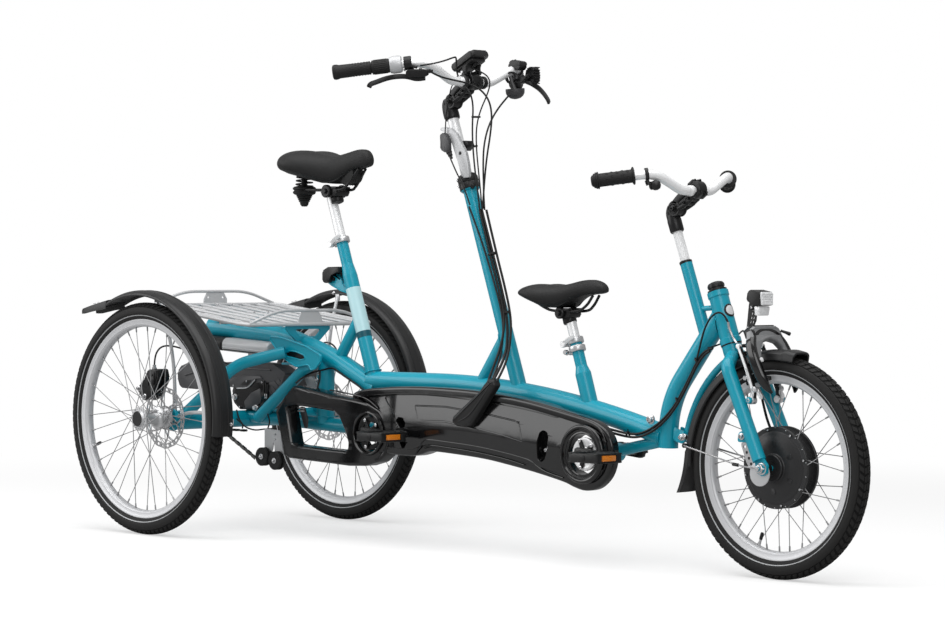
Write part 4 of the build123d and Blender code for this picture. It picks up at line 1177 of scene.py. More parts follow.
def quick_release(piece, place, lean, tube_radius, lever_way, size):
    """A seat clamp with its cam lever: a split collar, two ears, the skewer and the lever."""
    lean = lean.normalized()
    back = (lean * X.dot(lean) - X).normalized()
    r = tube_radius
    collar = [(r, 0), (r + 4.5, 0), (r + 5.5, 1.5), (r + 5.5, 12.5), (r + 4.5, 14), (r - 4, 14),
              (r - 4, 12), (r, 11)]
    piece.lathe(place, lean, collar, CAST, 40, True)
    middle = place + lean * 7 * MM + back * (r + 10) * MM
    for side in (-1, 1):
        piece.block(middle + Y * side * 6 * MM, (20, 7, 13), CAST, 2.5, along=back, up=lean)
    piece.plug(middle - Y * 17 * MM + back * 3 * MM, Y,
               [(5.5, 0), (6, 1), (6, 6), (3, 7), (3, 28)], STEEL, 20)
    cam = middle + Y * lever_way * 15 * MM + back * 3 * MM
    piece.plug(cam - Y * 5 * MM, Y, [(7, 0), (8, 1.2), (8, 9), (7, 10)], BRIGHT, 24)
    way = -back + lean * 0.16
    path = smooth_path([cam, cam + way * 14 * MM + Y * lever_way * 4 * MM,
                        cam + way * 32 * MM + Y * lever_way * 7 * MM, cam + way * 50 * size * MM + Y
                        * lever_way * 6 * MM], 4)
    section = oblong(6, 2.2, 1.8)
    scales = [0.9] * len(path)
    scales[-3:] = [0.95, 0.85, 0.5]
    piece.sweep(path, section, scales, BRIGHT)


def seatposts():
    """Round alloy posts with their quick-release collars."""
    piece = Piece("seatposts_built", "frame", "bright_aluminium")
    posts = ((at(500 - 0.36 * 356, 0, 757), REAR_LEAN, 13, 143, [(3, 15.2, -1, 1)]),
             (at(1255 - 0.33 * 152, 0, 515), FRONT_LEAN, 12.5, 97,
              [(2, 14.2, -1, 0.9), (22, 14.4, 1, 0.5)]))
    for start, lean, radius, length, collars in posts:
        profile = [(radius, 0), (radius, length - 1), (radius - 1, length), (0, length)]
        piece.lathe(start - lean * 20 * MM, lean, profile, BRIGHT, 40)
        for down, tube_radius, lever_way, size in collars:
            quick_release(piece, start - lean * down * MM, lean, tube_radius, lever_way, size)
    piece.done("seatposts")


saddle_clamps()
seatposts()

# Front end: fork details, lamp, lock, brake and wheel cover.

RAKE = radians(19.7)
STEER_UP = Vector((-sin(RAKE), 0, cos(RAKE)))
STEER_AHEAD = Vector((cos(RAKE), 0, sin(RAKE)))
HEAD_BASE = at(1690, 0, 522)
FRONT_HUB = at(WHEELBASE, 0, FRONT_RADIUS)


def holed_plate(piece, outline, holes, low, high, material):
    """A flat plate with holes through it, between two values of y."""
    cut_face(piece, outline, holes, lambda x, z: low, material)
    cut_face(piece, outline, holes, lambda x, z: high, material)
    for loop in (outline, *holes):
        wall(piece, loop, [(0, low), (0, high)], material)


def cover(piece, hub, section, start, stop, material, steps=40, flare=None):
    """A wheel cover: a closed section of (radius, y) swept round the hub between two angles in degrees."""
    rows = []
    for step in range(steps + 1):
        share = step / steps
        turn = radians(start + (stop - start) * share)
        grow, widen = flare(share) if flare else (0, 1)
        rows.append([wheel_point(hub, turn, r + grow, y * widen) for r, y in section])
    piece.rings(rows, material)


def skin_section(inner, half, skirt, skin):
    """The section of a rounded cover: crown, side skirts and its thickness."""
    turns = [pi * step / 10 for step in range(11)]
    outer = [(inner + skirt * min(1, abs(sin(turn)) * 1.2) ** 0.5, half * cos(turn)) for turn in turns]
    inside = [(r - skin, y * (half - skin) / half) for r, y in outer[::-1]]
    return outer + inside


def on_steering(up, ahead=0.0, y=0.0):
    """A point on the steering axis, up along it and ahead square to it."""
    return HEAD_BASE + (STEER_UP * up + STEER_AHEAD * ahead + Y * y) * MM


def steering_cap():
    """The two-step nut and cap on top of the head tube."""
    piece = Piece("steering_cap_built", "fork", "black_plastic")
    top = on_steering(125.6)
    piece.lathe(top, STEER_UP, [(0, 0), (22, 0), (22.4, 1.2), (22.4, 4), (19, 5.5), (17.5, 6.5),
        (17.5, 8.5), (19, 9.5), (19, 17), (17, 20), (11, 22.4), (0, 23)], PLASTIC, 40)
    for out in outwards(STEER_UP, 10):
        piece.block(top + out * 18.8 * MM + STEER_UP * 13.2 * MM, (1.8, 5, 6), PLASTIC, 0.6, along=out,
                    up=STEER_UP)
    piece.done("steering_cap")


def fork_details():
    """Crown races, axle nuts, torque plate and arm, brake bosses and weld beads on the fork."""
    piece = Piece("fork_details", "fork", "bright_aluminium")
    for side in (-1, 1):
        foot = FRONT_HUB + Y * side * 61 * MM
        out = Y * side
        piece.lathe(foot - out * 0.4 * MM, out, [(6, 0), (13.5, 0), (14, 0.8), (14, 2), (13, 2.6),
            (6, 2.6)], STEEL, 36, True)
        piece.nut(foot + out * 2.2 * MM, out, 20, 9.5)
        piece.lathe(foot + out * 11 * MM, out, [(0, 0), (8.4, 0), (8, 2.2), (5.2, 2.6), (5.2, 6),
            (0, 6.4)], STEEL, 28)
        piece.disc(at(1819, side * 50.5, 238), out, 28, 3, GREY, 0.6, 48)
        piece.plug(FRONT_HUB + Y * side * 35 * MM, out, [(9, 0), (9, 20)], METAL, 24)
        lug = rounded([(1758, 306), (1762, 326), (1772, 332), (1784, 326), (1788, 306)], 6, 3)
        piece.solid(lug, lambda a, b, d: at(a, side * (53 + d), b), 6, TEAL, 1.4)
        piece.bolt(at(1772, side * 59, 319), out, 5.2)
    holes = [circle(1775 + 6.4 * k, 296 - 12.5 * k, 3.6, 330, 11) for k in range(4)]
    band = rounded([(1762, 306), (1784, 306), (1806, 256), (1796, 240), (1780, 262)], [7, 7, 8, 8, 20], 3)
    for side in (-1, 1):
        low, high = sorted((side * 49.5, side * 52.5))
        holed_plate(piece, band, holes, low, high, STEEL)
    for side in (-1, 1):
        boss = at(1791, side * 52, 400)
        piece.plug(boss - Y * side * 12 * MM, Y * side, [(7.5, 0), (7.5, 20), (6, 21)], TEAL, 24)
    piece.lathe(on_steering(-1.2), -STEER_UP, [(19, -1.6), (23.6, -1.6), (24, 0), (23.8, 1.4), (23, 2),
        (19, 2)], METAL, 40, True)
    for side in (-1, 1):
        turns = [2 * pi * k / 28 for k in range(28)]
        piece.weld([at(1716 + 13.4 * cos(turn), side * (33 + 7 * cos(turn)), 484 + 17 * sin(turn))
                    for turn in turns], TEAL, 1.7)
    piece.done()


def headlamp():
    """The headlamp: a boxy hood, a faceted lens, a clear lower reflector and its slotted post."""
    piece = Piece("headlamp_built", "fork", "black_plastic")
    side_view = rounded([(1752, 622), (1755, 640), (1763, 646), (1791, 641), (1792, 611), (1780, 609),
                         (1764, 615)], [5, 5, 4, 2, 2, 3, 5], 3)
    piece.prism(side_view, -22, 22, PLASTIC, 3.2)
    front = rounded([(-19.5, -15), (19.5, -15), (20.5, 12), (17, 15), (-17, 15), (-20.5, 12)], 3, 3)
    piece.solid(front, lambda a, b, d: at(1790.5 + d - 0.05 * b, a, 626 + b), 4.5, LENS, 1.6)
    for a in range(-3, 4):
        for b in range(-2, 3):
            spot = at(1795.2, a * 5.2, 626 + b * 5.6)
            piece.disc(spot, X, 2.3, 0.9, LENS, 0.4, 10)
    lower = rounded([(1770, 609), (1789, 608), (1785, 588), (1773, 588)], 3, 3)
    piece.prism(lower, -17, 17, LENS, 1.5)
    post = rounded([(1752, 618), (1776, 612), (1772, 577), (1764, 561), (1757, 549), (1744, 551),
                    (1748, 584)], [4, 3, 6, 8, 5, 5, 20], 3)
    slots = []
    for k in range(4):
        x, z = 1755 + 2.2 * k - 1, 570 + 9.5 * k
        slots.append(rounded([(x, z), (x + 3.4, z), (x + 5, z + 6), (x + 1.6, z + 6)], 1, 2))
        slots.append(rounded([(x + 7, z), (x + 10.4, z), (x + 12, z + 6), (x + 8.6, z + 6)], 1, 2))
    holed_plate(piece, post, slots, -12.5, -9.5, PLASTIC)
    for x, z in ((1763, 606), (1752, 560)):
        piece.disc(at(x, -12, z), -Y, 6.2, 2.5, METAL, 0.8, 24)
        piece.bolt(at(x, -14, z), -Y, 3.0, STEEL, False)
        piece.disc(at(x, -9.5, z), Y, 5, 8, METAL, 0.8, 24)
    piece.done("headlamp")


LOCK_LEAN = radians(25)
LOCK_OUT = Vector((cos(LOCK_LEAN), 0, sin(LOCK_LEAN)))
LOCK_UP = Vector((-sin(LOCK_LEAN), 0, cos(LOCK_LEAN)))


def on_lock(y, up, out):
    """A point on the lock's leaning plane: y to the left, up along it and out in front of it."""
    return at(1806, 0, 503) + (Y * y + LOCK_UP * up + LOCK_OUT * out) * MM


def ring_lock():
    """The ring lock: a black horseshoe round the tyre under a grey arched cover."""
    piece = Piece("ring_lock_built", "fork", "black_plastic")
    half = [(40, -93), (50, -78), (56.5, -52), (59, -24), (58, 4), (52, 26), (40, 42), (22, 52), (0, 55)]
    path = smooth_path([on_lock(y, up, -3) for y, up in half + [(-y, up) for y, up in half[-2::-1]]], 4)
    section = rounded([(-8, -12), (6, -12), (9, -6), (9, 8), (4, 13), (-6, 12)], 4, 3)
    count = len(path)
    scales = [min(1, 0.25 + 0.11 * min(k, count - 1 - k)) for k in range(count)]
    piece.sweep(path, section, scales, GLOSS, up=LOCK_OUT)
    face = [(-50, -26), (-62, -16), (-66, 4), (-60, 26), (-53, 44), (-48, 60), (-38, 65), (38, 65),
            (50, 60), (55, 44), (60, 22), (62, 0), (58, -20), (48, -26), (42, -6), (36, 12), (22, 26),
            (0, 31), (-22, 26), (-36, 12), (-42, -6)]
    radii = [6, 8, 14, 30, 14, 5, 5, 5, 5, 14, 30, 14, 8, 6, 14, 14, 14, 14, 14, 14, 14]
    outline = rounded(face, radii, 3)
    piece.rings([[on_lock(y, up, out - 0.0022 * y * y) for y, up in inset(outline, distance)]
                 for distance, out in ((0, -2), (0, 8), (1.0, 11), (3.0, 13.2), (5.0, 14))],
                LOCK, caps=False)
    face_on(piece, inset(outline, 5.0), lambda y, up: on_lock(y, up, 14 - 0.0022 * y * y), LOCK)
    body = rounded([(-46, 30), (-50, 58), (-40, 68), (40, 68), (50, 58), (46, 30), (20, 42), (-20, 42)],
                   [4, 8, 8, 8, 8, 4, 20, 20], 3)
    piece.solid(body, lambda a, b, d: on_lock(a, b, d - 15), 20, PLASTIC, 3)
    piece.plug(at(1789, -44, 549), -Y, [(8.5, 0), (9, 1), (9, 4), (7.6, 5), (6.4, 4.2)], PLASTIC, 28)
    piece.block(at(1789, -48.4, 549), (8, 1, 2.2), METAL, 0.3, along=LOCK_UP, up=LOCK_OUT)
    piece.disc(on_lock(-50, -17, 7.5), LOCK_OUT, 5.5, 3.2, BRIGHT, 1.2, 20)
    lever = route([(1800, 40, 554), (1809, 48, 550), (1818, 53, 546)], 4)
    piece.tube(lever, [3, 3, 3, 3.2, 3.4, 3.8, 4.2, 4.4, 3.6], PLASTIC, 10)
    piece.tube([on_lock(-44, 30, 0), on_lock(0, 46, -2), on_lock(44, 30, 0)], 5, METAL, 12)
    piece.done("ring_lock")


def face_on(piece, outline, place, material):
    """A flat face of an outline put on a surface by place(a, b)."""
    made = cut_face(piece, outline, [], lambda x, z: 0.0, material)
    for vert in {vert for face in made for vert in face.verts}:
        vert.co = place((vert.co.x - REAR_AXLE) / MM, vert.co.z / MM)


def front_brake():
    """A linear-pull rim brake: two arms, pads, springs and the silver cable noodle."""
    piece = Piece("front_brake_built", "fork", "bright_aluminium")
    for side in (-1, 1):
        arm = route([(1791, side * 45, 398), (1792, side * 43, 420), (1779, side * 41, 452),
                     (1763, side * 41, 488), (1746, side * 40, 520)], 5)
        section = oblong(3.4, 5.4, 2)
        count = len(arm)
        scales = [1.35 - 0.5 * k / (count - 1) for k in range(count)]
        piece.sweep(arm, section, scales, METAL, up=X)
        # A narrower bright strip on the outer face of each dark arm: a painted highlight along the arm.
        piece.sweep([point + Y * side * 3.2 * MM for point in arm], section, [0.62 * s for s in scales],
                    BRIGHT, up=X)
        piece.plug(at(1791, side * 38, 400), Y * side, [(8, 0), (9, 1), (9, 14), (7.6, 16)], CAST, 28)
        piece.bolt(at(1791, side * 54, 400), Y * side, 5)
        piece.tube([at(1773, side * 26, 449), at(1773, side * 50, 449)], 3.6, STEEL, 12)
        piece.nut(at(1773, side * 47, 449), Y * side, 10, 5)
        piece.disc(at(1773, side * 33, 449), Y * side, 8, 5, METAL, 1, 24)
        piece.plug(at(1797, side * 40, 424), Y * side, [(6, 0), (7, 2), (7, 8), (4, 10)], CAST, 20)
        piece.block(at(1806, side * 38, 412), (15, 12, 9), BRIGHT, 2, along=Vector((0.6, 0, -0.8)))
        piece.block(at(1783, side * 44, 436), (20, 7, 10), METAL, 2, along=Vector((0.6, 0, -0.8)))
        pad = [wheel_point(FRONT_HUB, radians(92 + 20 * step / 8), 200, side * 23.8) for step in range(9)]
        block = oblong(5.5, 3.8, 1.2, 2)
        piece.sweep(pad, block, [0.8] + [1] * 7 + [0.8], GRIP, up=Y)
        spring = route([(1798, side * 50, 402), (1789, side * 52, 430), (1772, side * 48, 470)], 5)
        piece.tube(spring, 1.0, STEEL, 6)
        piece.disc(at(1746, side * 36, 519), Y * side, 5.5, 9, BRIGHT, 1, 24)
    noodle = route([(1703, -27, 573), (1705, -25, 558), (1713, -22, 539), (1726, -24, 526),
                    (1738, -31, 522), (1745, -36, 520)], 5)
    piece.tube(noodle, 2.6, STEEL, 12)
    piece.tube([at(1745, -34, 520), at(1745, 36, 520)], 1.0, STEEL, 8)
    piece.tube([at(1745, -24, 520), at(1745, 22, 520)], [4.2, 4.2], GRIP, 12)
    piece.done("front_brake")


def front_mudguard():
    """The front wheel's cover with its raised end, mudflap and wire stays."""
    piece = Piece("front_mudguard_built", "fork", "black_plastic")
    hub = FRONT_HUB
    section = skin_section(242, 29.5, 20, 2.4)
    cover(piece, hub, section, 80, 182, GUARD, 56)
    raised = skin_section(243, 30.5, 22, 4)
    cover(piece, hub, raised, 84, 76.2, GUARD, 8, lambda s: (min(1, 6 * s), 1 - 0.03 * s))
    flap = skin_section(244, 29.5, 19, 2.2)
    cover(piece, hub, flap, 174, 194, GUARD, 20, lambda s: (1 + 30 * s ** 2.6, 1 + 0.12 * s))
    rib = smooth_path([wheel_point(hub, radians(a), 262.3, 0) for a in range(86, 174, 8)], 4)
    piece.tube(rib, 1.6, GUARD, 8)
    for side in (-1, 1):
        wire = route([(1822, side * 63, 250), (1757, side * 52, 254), (1672, side * 42, 270),
                      (1590, side * 37, 287), (1574, side * 33, 290)], 6)
        piece.tube(wire, 2.0, STEEL, 10)
        piece.plug(at(1579, side * 29, 289), Y * side, [(5, 0), (5.4, 1), (5.4, 7), (4, 8)], PLASTIC, 20)
        piece.disc(at(1756, side * 52, 254), X * -1 + Z * 0.1, 4, 16, PLASTIC, 1, 16)
    piece.block(at(1726, 0, 497), (14, 26, 20), METAL, 2)
    piece.done("front_mudguard")


def steering_arm_details():
    """The ball joint at the arm's end, the lug on the down tube and its bolts."""
    piece = Piece("steering_ball_joint", "fork", "bright_aluminium")
    piece.plug(at(1558, -16, 307), Y, [(7.5, 0), (9, 2), (9, 8), (6, 10), (6, 22), (9, 24),
        (9, 30)], STEEL, 28)
    piece.tube([at(1560, 0, 318), at(1559, 0, 304)], [6.5, 8.5], STEEL, 20)
    piece.done()
    piece = Piece("frame_ear", "frame", "teal_paint")
    ear = rounded([(1528, 330), (1545, 323), (1558, 320), (1566, 311), (1565, 300), (1556, 291),
                   (1542, 294), (1528, 300)], [4, 10, 6, 6, 6, 6, 10, 4], 3)
    for side in (-1, 1):
        piece.prism(ear, *sorted((side * 9, side * 15)), TEAL, 1.5)
    piece.done()
    piece = Piece("frame_bolts", "frame", "bright_aluminium")
    piece.bolt(at(1554, -15, 306), -Y, 5.0)
    piece.bolt(at(1468, -23, 344), -Y, 7.5)
    piece.done()


def head_badge():
    """A blank round badge on the front of the head tube."""
    piece = Piece("head_badge", "frame", "bright_aluminium")
    rows = []
    for r, lift in ((0.01, 2.4), (9.5, 2.2), (11.2, 1.6), (12.2, 1.9), (14.6, 1.6), (15.4, 0.6),
                    (15.6, -0.6)):
        row = []
        for k in range(40):
            turn = 2 * pi * k / 40
            across, up = r * cos(turn), r * sin(turn)
            sweep = across / 22.5 - 0.04
            row.append(on_steering(74 + up, (22.5 + lift) * cos(sweep), (22.5 + lift) * sin(sweep)))
        rows.append(row)
    piece.rings(rows[:3], ENAMEL, caps=False)
    piece.rings(rows[2:], PLASTIC, caps=False)
    piece.done()


steering_cap()
fork_details()
headlamp()
ring_lock()
front_brake()
front_mudguard()
steering_arm_details()
head_badge()

# Handlebars, their stems and what is clamped on them.


def bent_path(points, radii, steps=8):
    """A path through points with a round bend of each radius, in millimetres, at its inner points."""
    points = [Vector(point) for point in points]
    path = [points[0]]
    for before, here, after, radius in zip(points, points[1:], points[2:], radii):
        back, ahead = (before - here).normalized(), (after - here).normalized()
        half = back.angle(ahead) / 2
        middle = here + (back + ahead).normalized() * (radius * MM / sin(half))
        start = here + back * (radius * MM / tan(half)) - middle
        stop = here + ahead * (radius * MM / tan(half)) - middle
        for step in range(steps + 1):
            path.append(middle + start.slerp(stop, step / steps).normalized() * (radius * MM))
    return path + [points[-1]]


def along_line(start, stop, share, side=1):
    """The point a share of the way from start to stop, on the right or, with side -1, on the left."""
    x, y, z = (a + (b - a) * share for a, b in zip(start, stop))
    return at(x, y * side, z)


REAR_BEND, REAR_END = (849, -156, 1193), (693, -310, 1165)
CHILD_BEND, CHILD_END = (1569, -127, 908), (1476, -231, 889)
MAST_FOOT = at(1012, 0, 415)
MAST_UP = Vector((-tan(RAKE), 0, 1)).normalized()


def bar(name, body, node, dip, bend, end, radii, knurl):
    """A bent alloy bar with a knurled sleeve at its middle."""
    piece = Piece(name, body, "bright_aluminium")
    right = [at(*end), at(*bend), at(*dip)]
    left = [at(x, -y, z) for x, y, z in (dip, bend, end)]
    piece.tube(bent_path(right + left, radii + radii[::-1]), 11, BRIGHT, 28)
    middle = at(dip[0], 0, dip[2])
    piece.tube([middle - Y * knurl * MM, middle - Y * (knurl - 3) * MM, middle + Y * (knurl - 3) * MM,
                middle + Y * knurl * MM], [11.1, 12.4, 12.4, 11.1], BRIGHT, 28)
    piece.done(node)


def sleeve(piece, start, stop, low, high, radius, side):
    """A plain rubber sleeve on a bar between two shares of its line."""
    base, tip = along_line(start, stop, low, side), along_line(start, stop, high, side)
    reach = (tip - base).length / MM
    piece.lathe(base, tip - base, [(11.2, 0), (radius - 1.5, 0), (radius, 1.5), (radius, reach - 1.5),
        (radius - 1.5, reach), (11.2, reach)], GRIP, 36, True)


def dimpled(base, way, rows, around, first, pitch, radius):
    """Places on a grip in staggered rows, each with its direction outwards."""
    across, other = square_to(way)
    for row in range(rows):
        for k in range(around):
            turn = 2 * pi * (k + 0.5 * (row % 2)) / around
            out = across * cos(turn) + other * sin(turn)
            yield base + way * (first + row * pitch) * MM + out * radius * MM, out


def rear_grips():
    """Long grips beside ribbed twist sleeves, on both ends of the rear bar."""
    piece = Piece("rear_grips_built", "rear_handlebar", "black_rubber")
    for side in (1, -1):
        sleeve(piece, REAR_BEND, REAR_END, 0.40, 0.99, 13.4, side)
        sleeve(piece, REAR_BEND, REAR_END, 0.405, 0.60, 17.4, side)
        base = along_line(REAR_BEND, REAR_END, 0.43, side)
        tip = along_line(REAR_BEND, REAR_END, 0.575, side)
        for out in outwards((tip - base).normalized(), 24):
            piece.tube([base + out * 17.1 * MM, tip + out * 17.1 * MM], 1.15, GRIP, 6)
        base = along_line(REAR_BEND, REAR_END, 0.612, side)
        tip = along_line(REAR_BEND, REAR_END, 1.02, side)
        reach = (tip - base).length / MM
        profile = [(11.2, 0), (15.6, 0), (16.6, 1.2), (15.8, 6), (15.5, 30), (16.2, 55), (16.6, reach - 14),
                   (18.2, reach - 9), (18.6, reach - 3), (17, reach + 1.5), (12, reach + 3.4),
                   (0, reach + 4)]
        piece.lathe(base, tip - base, profile, GRIP, 40)
        for spot, out in dimpled(base, (tip - base).normalized(), 9, 14, 8, 7, 15.2):
            piece.disc(spot, out, 1.9, 1.2, GRIP, 0.4, 6)
    piece.done("rear_grips")


def child_grips():
    """Short grips with an inner flange, dimples and a stepped end."""
    piece = Piece("child_grips_built", "frame", "black_rubber")
    for side in (1, -1):
        base = along_line(CHILD_BEND, CHILD_END, 0.33, side)
        tip = along_line(CHILD_BEND, CHILD_END, 1.0, side)
        reach = (tip - base).length / MM
        profile = [(11.2, 0), (19, 0), (20.4, 1), (20.4, 3), (18, 4.6), (15.2, 6), (15.0, 40),
                   (15.4, reach - 14)]
        for k in range(4):
            d, r = reach - 13 + k * 4.2, 19.6 - 1.5 * k * k * 0.5
            profile += [(r, d), (r, d + 2.4), (r - 2.6, d + 2.9), (r - 2.6, d + 4.0)]
        profile += [(9, reach + 4), (0, reach + 4.4)]
        piece.lathe(base, tip - base, profile, GRIP, 40)
        for spot, out in dimpled(base, (tip - base).normalized(), 5, 6, 15, 12, 14.6):
            piece.lathe(spot, out, [(2.4, 0), (3.2, 0.9), (2.4, 1.3), (1.6, 0.8), (0, 0.7)], GRIP, 12)
    piece.done("child_grips")


def stem_head(piece, pivot, clamp, width, bar_radius):
    """An adjustable stem's head: a ribbed pivot and a forked arm to the clamp with its plate and bolts."""
    arm = (clamp - pivot).normalized()
    up = Y.cross(arm) * -1
    piece.plug(pivot - Y * width * MM, Y,
               [(17, 0), (18.5, 1.5), (18.5, 5), (16.5, 6), (16.5, 2 * width - 6), (18.5, 2 * width - 5),
                (18.5, 2 * width - 1.5), (17, 2 * width)], METAL, 40)
    for side in (-1, 1):
        hub = pivot + Y * side * width * MM
        piece.lathe(hub, Y * side, [(13, -0.5), (13, 0.7), (11.5, 1.4), (10, 0.6), (9.6, -0.5)], METAL, 32)
        piece.bolt(hub, Y * side, 5.4, METAL)
        spine = [pivot + Y * side * (width - 4) * MM + arm * d * MM + up * h * MM
                 for d, h in ((4, 9), (26, 12), (48, 11), (72, 9))]
        piece.sweep(smooth_path(spine, 4), oblong(4, 8, 3), 1.0, METAL, up=up)
        low = [pivot + Y * side * (width - 3) * MM + arm * d * MM + up * h * MM
               for d, h in ((10, -8), (34, -12), (56, -11), (76, -8))]
        piece.tube(smooth_path(low, 4), 5.6, METAL, 12)
    for d in (36, 52):
        spot = pivot + arm * d * MM - up * 9 * MM
        piece.plug(spot - Y * (width + 3) * MM, Y,
                   [(6.5, 0), (7.2, 1), (7.2, 2 * width + 5), (6.5, 2 * width + 6)], METAL, 20)
        piece.bolt(spot - Y * (width + 3) * MM, -Y, 3.6, METAL, False)
    piece.tube([pivot + arm * 14 * MM, pivot + arm * 70 * MM], [12, 11], METAL, 20)
    ring = [(bar_radius, 0), (bar_radius + 7, 0), (bar_radius + 8.5, 1.5),
            (bar_radius + 8.5, 2 * width - 1.5), (bar_radius + 7, 2 * width), (bar_radius, 2 * width)]
    piece.lathe(clamp - Y * width * MM, Y, ring, METAL, 40, True)
    for y in (-width * 0.62, width * 0.62):
        for h in (-1, 1):
            spot = clamp + arm * 8 * MM + up * h * 17 * MM + Y * y * MM
            piece.block(spot - arm * 5 * MM, (20, 11, 10), METAL, 2.5, along=arm, up=up)
            piece.bolt(spot + arm * 4 * MM, arm, 3.1, METAL, False)


def rear_stem():
    """The silver post, its wedge collar, the stem head and the long grey quick-release lever."""
    piece = Piece("rear_stem_built", "rear_handlebar", "black_metal")
    foot = MAST_FOOT + MAST_UP * 486 * MM
    piece.plug(foot, MAST_UP, [(14, 0), (14, 210)], BRIGHT, 44)
    for k in (-1, 0, 1):
        turn = radians(218 + 9 * k)
        out = X * cos(turn) + Y * sin(turn)
        piece.tube([foot + MAST_UP * 60 * MM + out * 13.7 * MM, foot + MAST_UP * 204 * MM + out * 13.7
                    * MM], 0.9, BRIGHT, 6)
    head = MAST_FOOT + MAST_UP * 692 * MM
    piece.lathe(head, MAST_UP, [(14, -8), (17, -8), (18.4, -6), (18.8, 0), (18.2, 20), (15, 31),
        (0, 35)], METAL, 40)
    shell = route([(772, 0, 1058), (765, 0, 1076), (762, 0, 1094), (767, 0, 1108)], 4)
    piece.sweep(shell, oblong(15, 7, 5), [0.8] + [1] * (len(shell) - 2) + [0.8], METAL, up=X)
    stem_head(piece, at(785, 0, 1103), at(846, 0, 1150), 15, 12.4)
    piece.done("rear_stem")

    piece = Piece("quick_release_lever", "rear_handlebar", "silver_case")
    outer = [(761, 1038), (775, 1040), (798, 1036), (819, 1021), (836, 997), (851, 975), (860, 945),
             (863, 914), (838, 912), (830, 940), (818, 964), (803, 998), (786, 1016), (778, 1026),
             (761, 1032)]
    outline = rounded(outer, [2, 6, 20, 20, 30, 30, 30, 4, 4, 30, 20, 20, 8, 6, 2], 3)
    piece.prism(outline, -24, -15.5, SILVER, 2.2)
    piece.plug(at(832, -24.2, 974), Y * -1, [(4, 0), (4.4, 0.8), (3, 1.4)], METAL, 16)
    piece.done()

    piece = Piece("bar_sensor_box", "rear_handlebar", "black_plastic")
    box = rounded([(770, 1022), (786, 1026), (801, 1008), (805, 980), (790, 976), (774, 984)],
                  [8, 8, 8, 6, 6, 6], 3)
    piece.prism(box, -36, -25, DARK, 3)
    piece.plug(at(797, -30, 980), Vector((0.6, 0, -1)), [(7.5, 0), (7.5, 6), (6, 7), (6, 14), (3.6, 15),
        (3.6, 22)], PLASTIC, 24)
    piece.prism(rounded([(816, 1004), (840, 1005), (848, 992), (832, 980), (818, 982)], 4, 3), -12,
                12, METAL, 2)
    piece.done()


def mast_collar():
    """The black clamping collar on the mast's top with its two bolts."""
    piece = Piece("mast_collar", "frame", "black_metal")
    base = MAST_FOOT + MAST_UP * 499 * MM
    piece.lathe(base, MAST_UP, [(18.7, 0), (24.5, 0), (25.6, 1.5), (25.6, 14), (24.6, 15.5), (24.6, 17),
        (25.8, 18.5), (25.8, 30), (24, 33), (20, 38), (15, 39), (14.6, 35), (14.6, 32)], METAL, 48)
    for d, h in ((-23, 8), (-23, 24)):
        spot = base + MAST_UP * h * MM + X * d * MM
        piece.block(spot, (15, 26, 10), METAL, 3, up=MAST_UP)
        piece.bolt(spot - Y * 13 * MM, -Y, 3.6, STEEL, False)
    spot = base + MAST_UP * 8 * MM + Vector((22, -12, 0)) * MM
    piece.bolt(spot, X - Y, 4, METAL)
    piece.done()


def brake_lever(piece, side):
    """A clamp on the bar, the lever's body with its barrel and the two-finger blade."""
    def spot(x, y, z):
        return at(x, y * side, z)

    low, high = along_line(REAR_BEND, REAR_END, 0.16, side), along_line(REAR_BEND, REAR_END, 0.245, side)
    reach = (high - low).length / MM
    piece.lathe(low, high - low, [(11.1, 0), (15.5, 0), (17, 1.5), (17, reach - 1.5), (15.5, reach),
        (11.1, reach)], METAL, 36, True)
    piece.block(spot(826, -178, 1171), (22, 15, 17), METAL, 4, along=Vector((0.3, 0.2 * side, -1)))
    piece.bolt(spot(812, -190, 1172), Vector((-0.6, -0.5 * side, -0.3)), 3.2, STEEL, False)
    body = smooth_path([spot(820, -196, 1162), spot(836, -184, 1162), spot(852, -174, 1162),
                        spot(868, -168, 1164)], 4)
    section = oblong(6, 10, 4)
    piece.sweep(body, section, [0.5, 0.8] + [1] * (len(body) - 5) + [0.9, 0.8, 0.6], METAL, up=Z)
    piece.plug(spot(866, -169, 1166), Vector((0.95, 0.3 * side, 0.1)),
               [(5.6, 0), (5.6, 3), (4.6, 3.6), (4.6, 5), (5.4, 5.6), (5.4, 9), (3.4, 10),
                (3.0, 15)], METAL, 20)
    piece.bolt(spot(850, -176, 1168), Z, 4.2, METAL)
    if side > 0:
        line = [(858, -168, 1149), (837, -176, 1149), (815, -192, 1155), (797, -212, 1154),
                (787, -232, 1149), (775, -250, 1141), (766, -262, 1135), (763, -265, 1127)]
    else:
        line = [(866, -170, 1156), (878, -182, 1150), (880, -200, 1142), (872, -222, 1134),
                (862, -242, 1127), (853, -260, 1119), (848, -270, 1113), (846, -274, 1108)]
    blade = smooth_path([spot(*point) for point in line], 4)
    count = len(blade)
    scales = [0.7 + 0.3 * min(1, k / 5) for k in range(count)]
    scales[-1] = 0.8
    piece.sweep(blade, oblong(3.4, 6.2, 2.4), scales, METAL, up=Z)


